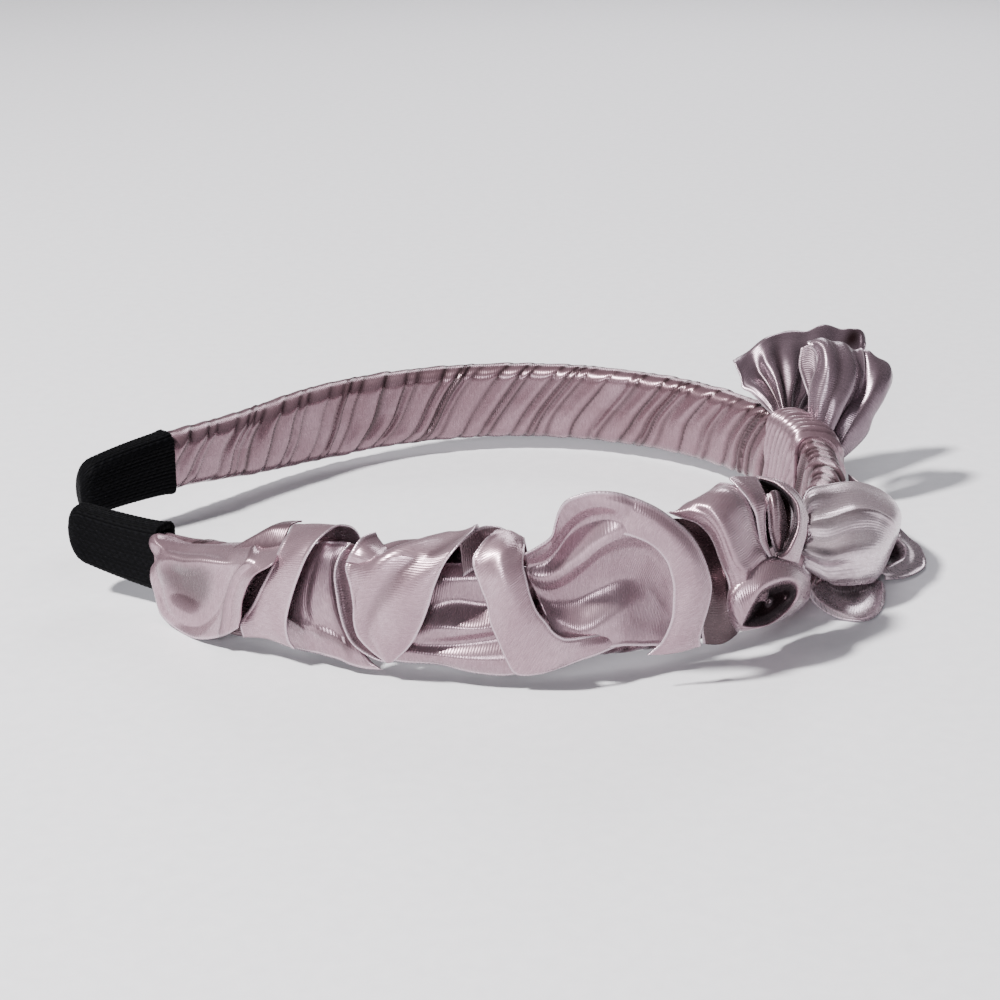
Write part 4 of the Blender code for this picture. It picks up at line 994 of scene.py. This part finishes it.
fanRails = [
    [(-2.6, 14, 18.5), (-5.3, 18, 21.1), (-7.7, 21, 23.4), (-9.4, 23, 24.1), (-9.7, 24.5, 26.2),
     (-10.5, 26.5, 28.5), (-9.3, 29, 27.9), (-6.5, 29.5, 24)],
    [(-2.3, 14, 18.7), (-3.5, 19, 22.3), (-5.2, 24, 26.2), (-6.8, 27, 28.8), (-7.3, 29, 30.3),
     (-6.1, 32, 28.9), (-3.2, 30, 23.7)],
    [(-2.1, 14, 18.8), (-2.7, 19, 23.2), (-3.4, 24, 27.7), (-3.7, 28, 31.2), (-3.6, 30, 32.5),
     (-2.1, 33, 30.7), (-0.4, 31, 23.3)],
    [(-2, 14, 18.8), (-1.8, 19, 23.8), (-1, 25, 28.2), (0.1, 30, 32.4), (0.9, 32, 33.7), (2.5, 35, 31.5),
     (2.4, 32, 22.8)],
    [(-1.5, 14.5, 18.7), (-0.3, 20, 23.4), (2.1, 26, 27.8), (5.1, 31, 31.9), (6.5, 33, 33.4), (7.8, 36, 31),
     (5.8, 33, 22.4)],
    [(-1.1, 15, 18.6), (1.6, 21, 23), (5.2, 27, 27.4), (9.1, 32, 32.4), (10.7, 34, 34.3), (11.9, 37, 31.6),
     (9, 34, 22)],
    [(-0.6, 15.5, 18.5), (3.4, 22, 22), (8, 28, 26.3), (13, 33, 31), (15, 35, 33), (15.9, 37.5, 30.3),
     (12.5, 35, 21.5)],
    [(-0.2, 16, 18.4), (5.6, 23, 21.6), (11.5, 29, 25.9), (16.2, 33, 30.6), (17.6, 35, 33.2),
     (18.9, 38, 30.1), (15, 35, 21.4)],
    [(0.3, 16.5, 18.2), (7.6, 23.5, 20.7), (14, 29, 25.2), (18.9, 33.5, 30), (20.1, 35, 32.4),
     (21.3, 38, 29), (17.3, 35, 21.3)],
    [(0.7, 17, 18.1), (9.1, 24, 19.9), (15.3, 29, 23.8), (19.8, 33, 28.2), (20.6, 34, 29.5), (21.1, 37, 27),
     (17.6, 34, 21.6)]]
frontLoopRails = [
    [(2.3, 10, 14), (2.4, 11, 18.4), (2.5, 12, 22.7), (2.5, 13, 26.7), (4, 14.5, 30.5), (4.6, 16, 32.8),
     (2.9, 18, 35.3), (5, 21, 33.8), (6.4, 20, 26.3)],
    [(3.1, 9.5, 13.5), (3.5, 9.5, 18.8), (3.7, 10, 23.2), (4.4, 11, 27.2), (5.2, 12.5, 31.6),
     (5.4, 15, 34.6), (5, 18, 35.8), (7, 21.5, 33.3), (7.6, 20, 26.2)],
    [(3.9, 9, 13.2), (4.7, 8.5, 19.1), (5.4, 8.8, 23.5), (6.4, 9.6, 27.6), (7, 11.5, 31.8),
     (7.4, 14.5, 34.6), (7.8, 18, 35.7), (9.7, 22, 33), (9.8, 21, 25.8)],
    [(4.4, 9, 12.9), (6, 8.8, 18.6), (7.4, 9, 22.8), (8.6, 10, 26.7), (9.9, 12, 31), (10.4, 15, 33.4),
     (10.4, 18.5, 34.6), (12, 22.5, 31.8), (11.6, 21, 25.7)],
    [(4.9, 9.5, 12.5), (7, 10, 17.8), (8.8, 10.5, 21), (11, 11.5, 24.3), (12.8, 13, 28.1),
     (13.4, 15.5, 31.3), (12.9, 18.5, 33.4), (13.8, 22, 30.7), (12.9, 21, 25.7)],
    [(5.6, 11, 11.8), (8.1, 12, 16.8), (10.2, 13, 20.6), (13.1, 14, 23.1), (14.4, 15, 26.8),
     (15, 16.5, 30.1), (15.3, 19, 32.7), (15.1, 21, 30.6), (13.5, 20, 25.3)]]
flapRails = [
    [(2.2, 20, 33.6), (1.6, 19, 30.2), (2.2, 17.5, 27.2), (3.3, 15, 23.3)],
    [(4, 19.5, 34.3), (3.7, 18, 30.7), (3.8, 16.5, 27.4), (3.6, 14.5, 23.1)],
    [(5.1, 18, 33.1), (5.2, 16.8, 30.7), (4.7, 15.5, 27.7), (3.6, 13.8, 22.7)]]
outerLoopRails = [
    [(6, 11.5, 11.1), (8.1, 12.5, 16), (10, 13.5, 20), (13.1, 15, 22.5), (14.6, 16.5, 25.7),
     (15, 17.5, 29.1), (15.4, 19.5, 32.3), (16.2, 21.5, 30.4)],
    [(6.1, 10.5, 11.2), (8.4, 10.5, 16.7), (10.6, 11.2, 20.7), (13.8, 12.5, 23.9), (15.6, 14, 27.1),
     (16.5, 16, 30.1), (16.8, 19, 32.3), (17.9, 22, 30.2)],
    [(6.5, 10, 11), (9.3, 9.5, 17), (11.7, 10, 20.4), (15, 11.5, 24.1), (17.1, 13, 27.3), (18.2, 15, 29.7),
     (18.6, 18.5, 31.5), (19.5, 22, 29.2)],
    [(6.9, 10.5, 10.5), (10.8, 10, 15.8), (13.5, 10.5, 18.9), (16.2, 12, 22.1), (18.6, 13.5, 25.2),
     (20.1, 15.5, 28.3), (20.5, 18.5, 30.2), (21.1, 22, 28.2)],
    [(7.6, 12, 9.7), (12.1, 12, 13.2), (15.2, 12.5, 16.3), (16.5, 14, 19.2), (19.4, 15.5, 22.4),
     (21.6, 17, 25.6), (22.3, 19, 27.5), (22.2, 22, 26.3)]]
bigLoopRails = [
    [(-13.2, -44.5, 19), (-13.4, -44.6, 17), (-13.6, -44.8, 15), (-13.6, -44.8, 12), (-13.4, -44.6, 9),
     (-12.6, -44, 6)],
    [(-11.4, -36, 22.1), (-12.3, -40, 20.9), (-12.8, -43, 18.5), (-14.1, -45, 15.8), (-15.1, -46, 13),
     (-12.6, -44, 8.9)],
    [(-5.6, -31, 21.5), (-7.5, -38, 20), (-8.9, -43, 17.6), (-10.2, -46, 14.5), (-10.7, -47, 11.4),
     (-8.2, -44, 5.7)],
    [(1, -27, 20), (-1.7, -36, 19.3), (-3.7, -42, 17.3), (-5.1, -45, 13.9), (-5.6, -46, 10.3),
     (-4.4, -43, 4.9)],
    [(6.8, -24, 17), (4.3, -32, 16.8), (2.1, -38, 15.1), (1.1, -41, 12), (0.3, -42, 8.4), (-0.9, -40, 3.9)],
    [(10.5, -23, 13.6), (10, -27, 13.2), (8.5, -31, 11.8), (6.3, -34, 9), (4.4, -36, 5.8), (2.1, -37, 3)],
    [(12.5, -14, 9.9), (12.8, -16, 8.3), (11.9, -18, 6.4), (10.3, -20, 3.4), (8.4, -22, 0.5),
     (5, -27.1, 0.4)],
    [(7, -3, 13), (7, -4, 11), (7, -5, 9), (7, -6, 7), (6.5, -7, 5), (6, -8, 3.5)]]
rollRails = [
    [(-13.8, -46, 7.2), (-12.4, -47, 3.9), (-9.6, -47.5, 1.6), (-6.3, -48.1, 0.4), (-3.2, -49.2, 0.4),
     (-0.2, -47.2, 0.4), (3.2, -41.6, 0.4), (5.3, -35.5, 0.4)],
    [(-13.6, -45, 8.6), (-11.7, -45.5, 4.7), (-8.9, -46, 2.2), (-5.2, -45.5, 0.5), (-2.1, -45.7, 0.4),
     (0.8, -43, 0.4), (4.1, -37, 0.7), (5.1, -34, 1.6)],
    [(-11.6, -40, 6.5), (-9, -40, 3), (-6, -40, 0.7), (-3.9, -42.3, 0.4), (-1.3, -41.8, 0.4),
     (1.4, -38.6, 0.4), (3.8, -34.4, 0.4), (5.4, -31, 0.8)],
    [(-9, -36, 4.7), (-5.6, -36, 2), (-3.1, -36, 0.7), (-1.2, -35.6, 0.4), (0.5, -34.9, 0.4),
     (2.4, -33.3, 0.4), (4.1, -31, 0.5), (5.7, -29, 0.5)],
    [(-11, -42, 9), (-8, -41, 7), (-4.5, -39, 6), (-1, -36, 5), (2, -33, 4.5), (4, -31, 4), (5.5, -29, 3.5),
     (6.5, -27, 3)]]
backLoopRails = [
    [(13.3, -17, 6.3), (15.7, -18, 3.9), (17.4, -19, 2.6), (17.9, -21, 1.1), (17.2, -24, 0.4),
     (14.3, -27.5, 0.4), (10.7, -29.8, 0.4), (6.6, -31, 0.9)],
    [(13.1, -19, 5.2), (14.5, -20, 3.9), (15.4, -21.5, 2.6), (15, -23.5, 1.5), (14.2, -25.5, 0.8),
     (12.5, -27.5, 0.7), (9.6, -29.5, 1.1), (6.6, -31, 1.7)],
    [(11.7, -21, 5.6), (12.5, -22, 5.2), (13.4, -23, 4.2), (13.1, -24.5, 3.1), (12.2, -26, 2.2),
     (10.1, -28, 2), (7.6, -30, 2.2), (5.7, -31.5, 2.5)],
    [(11.7, -20, 5.1), (12.3, -21, 4.5), (12.7, -22, 3.7), (12.4, -23, 2.7), (11.2, -25, 2.4),
     (9.3, -27, 2.4), (7.2, -29, 2.5), (5.8, -30.5, 2.8)],
    [(10.5, -17, 4), (11, -18, 3), (11, -19.5, 2), (10.5, -21, 1.5), (9.5, -23, 1.2), (8, -25, 1.2),
     (6.5, -27, 1.2), (5, -29, 1.5)]]


def fanRelief(u, v, wide, long):
    # folds spread from the knot; the hollow at the right end is painted shade only, in fanPaintedShade
    folds = 0.8 * np.sin(2 * math.pi * (4.6 * u + 0.22 * waver(61, u * 3, v * 2)))
    return folds * step(v, 0.02, 0.3) * (1 - 0.75 * step(v, 0.35, 0.62)) + 0.15 * waver(62, u * 14, v * 3)


def fanPaintedShade(u, v):
    # painted shade: a little everywhere, much darker near the knot, and a dark spot for the hollow at the
    # right end
    hollow = 0.9 * np.exp(-((u - 0.86) / 0.05) ** 2 - ((v - 0.62) / 0.06) ** 2)
    return 0.1 + 0.5 * (1 - step(v, 0.05, 0.4)) + hollow


def wingRelief(seed, folds, depth):
    # soft folds that start at the knot and fade along the loop
    def relief(u, v, wide, long):
        wave = depth * np.sin(2 * math.pi * (folds * u + 0.25 * waver(seed, u * 3, v * 2)))
        return wave * (1 - 0.6 * step(v, 0.35, 0.9)) + 0.10 * waver(seed + 1, u * 10, v * 3)
    return relief


def bigLoopRelief(u, v, wide, long):
    # u runs from the knot end to the far end, v from top to bottom
    pleats = 0.7 * np.sin(2 * math.pi * (4.2 * v + 0.2 * waver(67, u * 2, v * 3)))
    pleats = pleats * (1 - step(u, 0.12, 0.5))
    return pleats + crease(u, v, (0.14, 0.42), (0.45, 0.42), 0.025, -0.6) + 0.12 * waver(68, u * 5, v * 6)


upperWing = [
    ("bowUpperFan", fanRails, (150, 110), fanRelief, fanPaintedShade, ["bow_upper_fan"], (0.040, 0.033)),
    ("bowUpperFrontLoop", frontLoopRails, (90, 110), wingRelief(63, 2.2, 0.5), 0.08, ["bow_upper_front_loop"],
     (0.013, 0.036)),
    ("bowUpperFlap", flapRails, (20, 40), None, 0.3, [], (0.010, 0.012), 0.35),
    ("bowUpperOuterLoop", outerLoopRails, (70, 110), wingRelief(65, 1.6, 0.6), 0.08, ["bow_upper_outer_loop"],
     (0.012, 0.030)),
]
lowerWing = [
    ("bowLowerBigLoop", bigLoopRails, (130, 110), bigLoopRelief, 0.0, ["bow_lower_big_loop"], (0.060, 0.024)),
    ("bowLowerRoll", rollRails, (60, 110), wingRelief(69, 1.0, 0.2), paintedShadeFrom(0.5, 0.75, 0.75),
     ["bow_lower_roll"], (0.012, 0.032)),
    ("bowLowerBackLoop", backLoopRails, (60, 80), None, paintedShadeFrom(0.62, 0.8, 0.9), ["bow_lower_back_loop"],
     (0.010, 0.022), 0.6),
]
# the upper wing wears the darker copy of the bow satin, as painted shade
sewPieces(upperWing, fromCrown, paintedShadeSatin)
sewPieces(lowerWing, fromCrown, bowSatin)
print("bow tied")

# tack stitches

stitches = {"places": ((152, 9), (130, 19), (114.5, 10), (93, 12.5), (81, 12), (69.5, 12)), "length": 2.4,
            "strands": 3, "thickness": 0.22, "spread": 0.24, "outwards": 4.05, "sag": 0.25, "rings": 13,
            "around": 8, "twist": 3, "plies": 3}


def buildStitch(number, s, z):
    # a few strands of plied thread side by side, across the ribbon and sunk in at both ends
    reach = np.linspace(-1, 1, stitches["rings"])
    count, radius = stitches["around"], stitches["thickness"] / 2
    angles = np.linspace(0, 2 * math.pi, count, endpoint=False)
    build = bmesh.new()
    for strand in range(stitches["strands"]):
        shift = stitches["spread"] * (strand - 1)
        line = np.stack([np.full(len(reach), s + shift), z + stitches["length"] / 2 * reach,
                         stitches["outwards"] - stitches["sag"] * reach ** 4], -1)
        rings = []
        for share, point in zip(reach, line):
            spin = angles + stitches["twist"] * share
            ring = [point + (radius * math.cos(t) * (1 + 0.2 * math.cos(stitches["plies"] * t)), 0,
                             radius * math.sin(t)) for t in spin]
            rings.append([build.verts.new(p) for p in onRuffledLeg(ring)])
        for lower, upper in zip(rings, rings[1:]):
            for i in range(count):
                build.faces.new((lower[i], lower[(i + 1) % count], upper[(i + 1) % count], upper[i]))
        build.faces.new(rings[0])
        build.faces.new(rings[-1])
    bmesh.ops.recalc_face_normals(build, faces=build.faces)
    mesh = bpy.data.meshes.new("tackStitch%d" % number)
    build.to_mesh(mesh)
    build.free()
    mesh.materials.append(cottonThread)
    mesh.shade_smooth()
    obj = bpy.data.objects.new("tackStitch%d" % number, mesh)
    bpy.context.scene.collection.objects.link(obj)
    return finish(obj, "ruffled_leg", ["tack_stitch_%d" % number])


for number, (s, z) in enumerate(stitches["places"], 1):
    buildStitch(number, s, z)

# floor

floorMesh = bpy.data.meshes.new("studioFloor")
floorMesh.from_pydata([(-3, -3, 0), (3, -3, 0), (3, 3, 0), (-3, 3, 0)], [], [(0, 1, 2, 3)])
floorMesh.materials.append(paper)
studioFloor = bpy.data.objects.new("studioFloor", floorMesh)
bpy.context.scene.collection.objects.link(studioFloor)

bpy.context.view_layer.update()
print("finished")
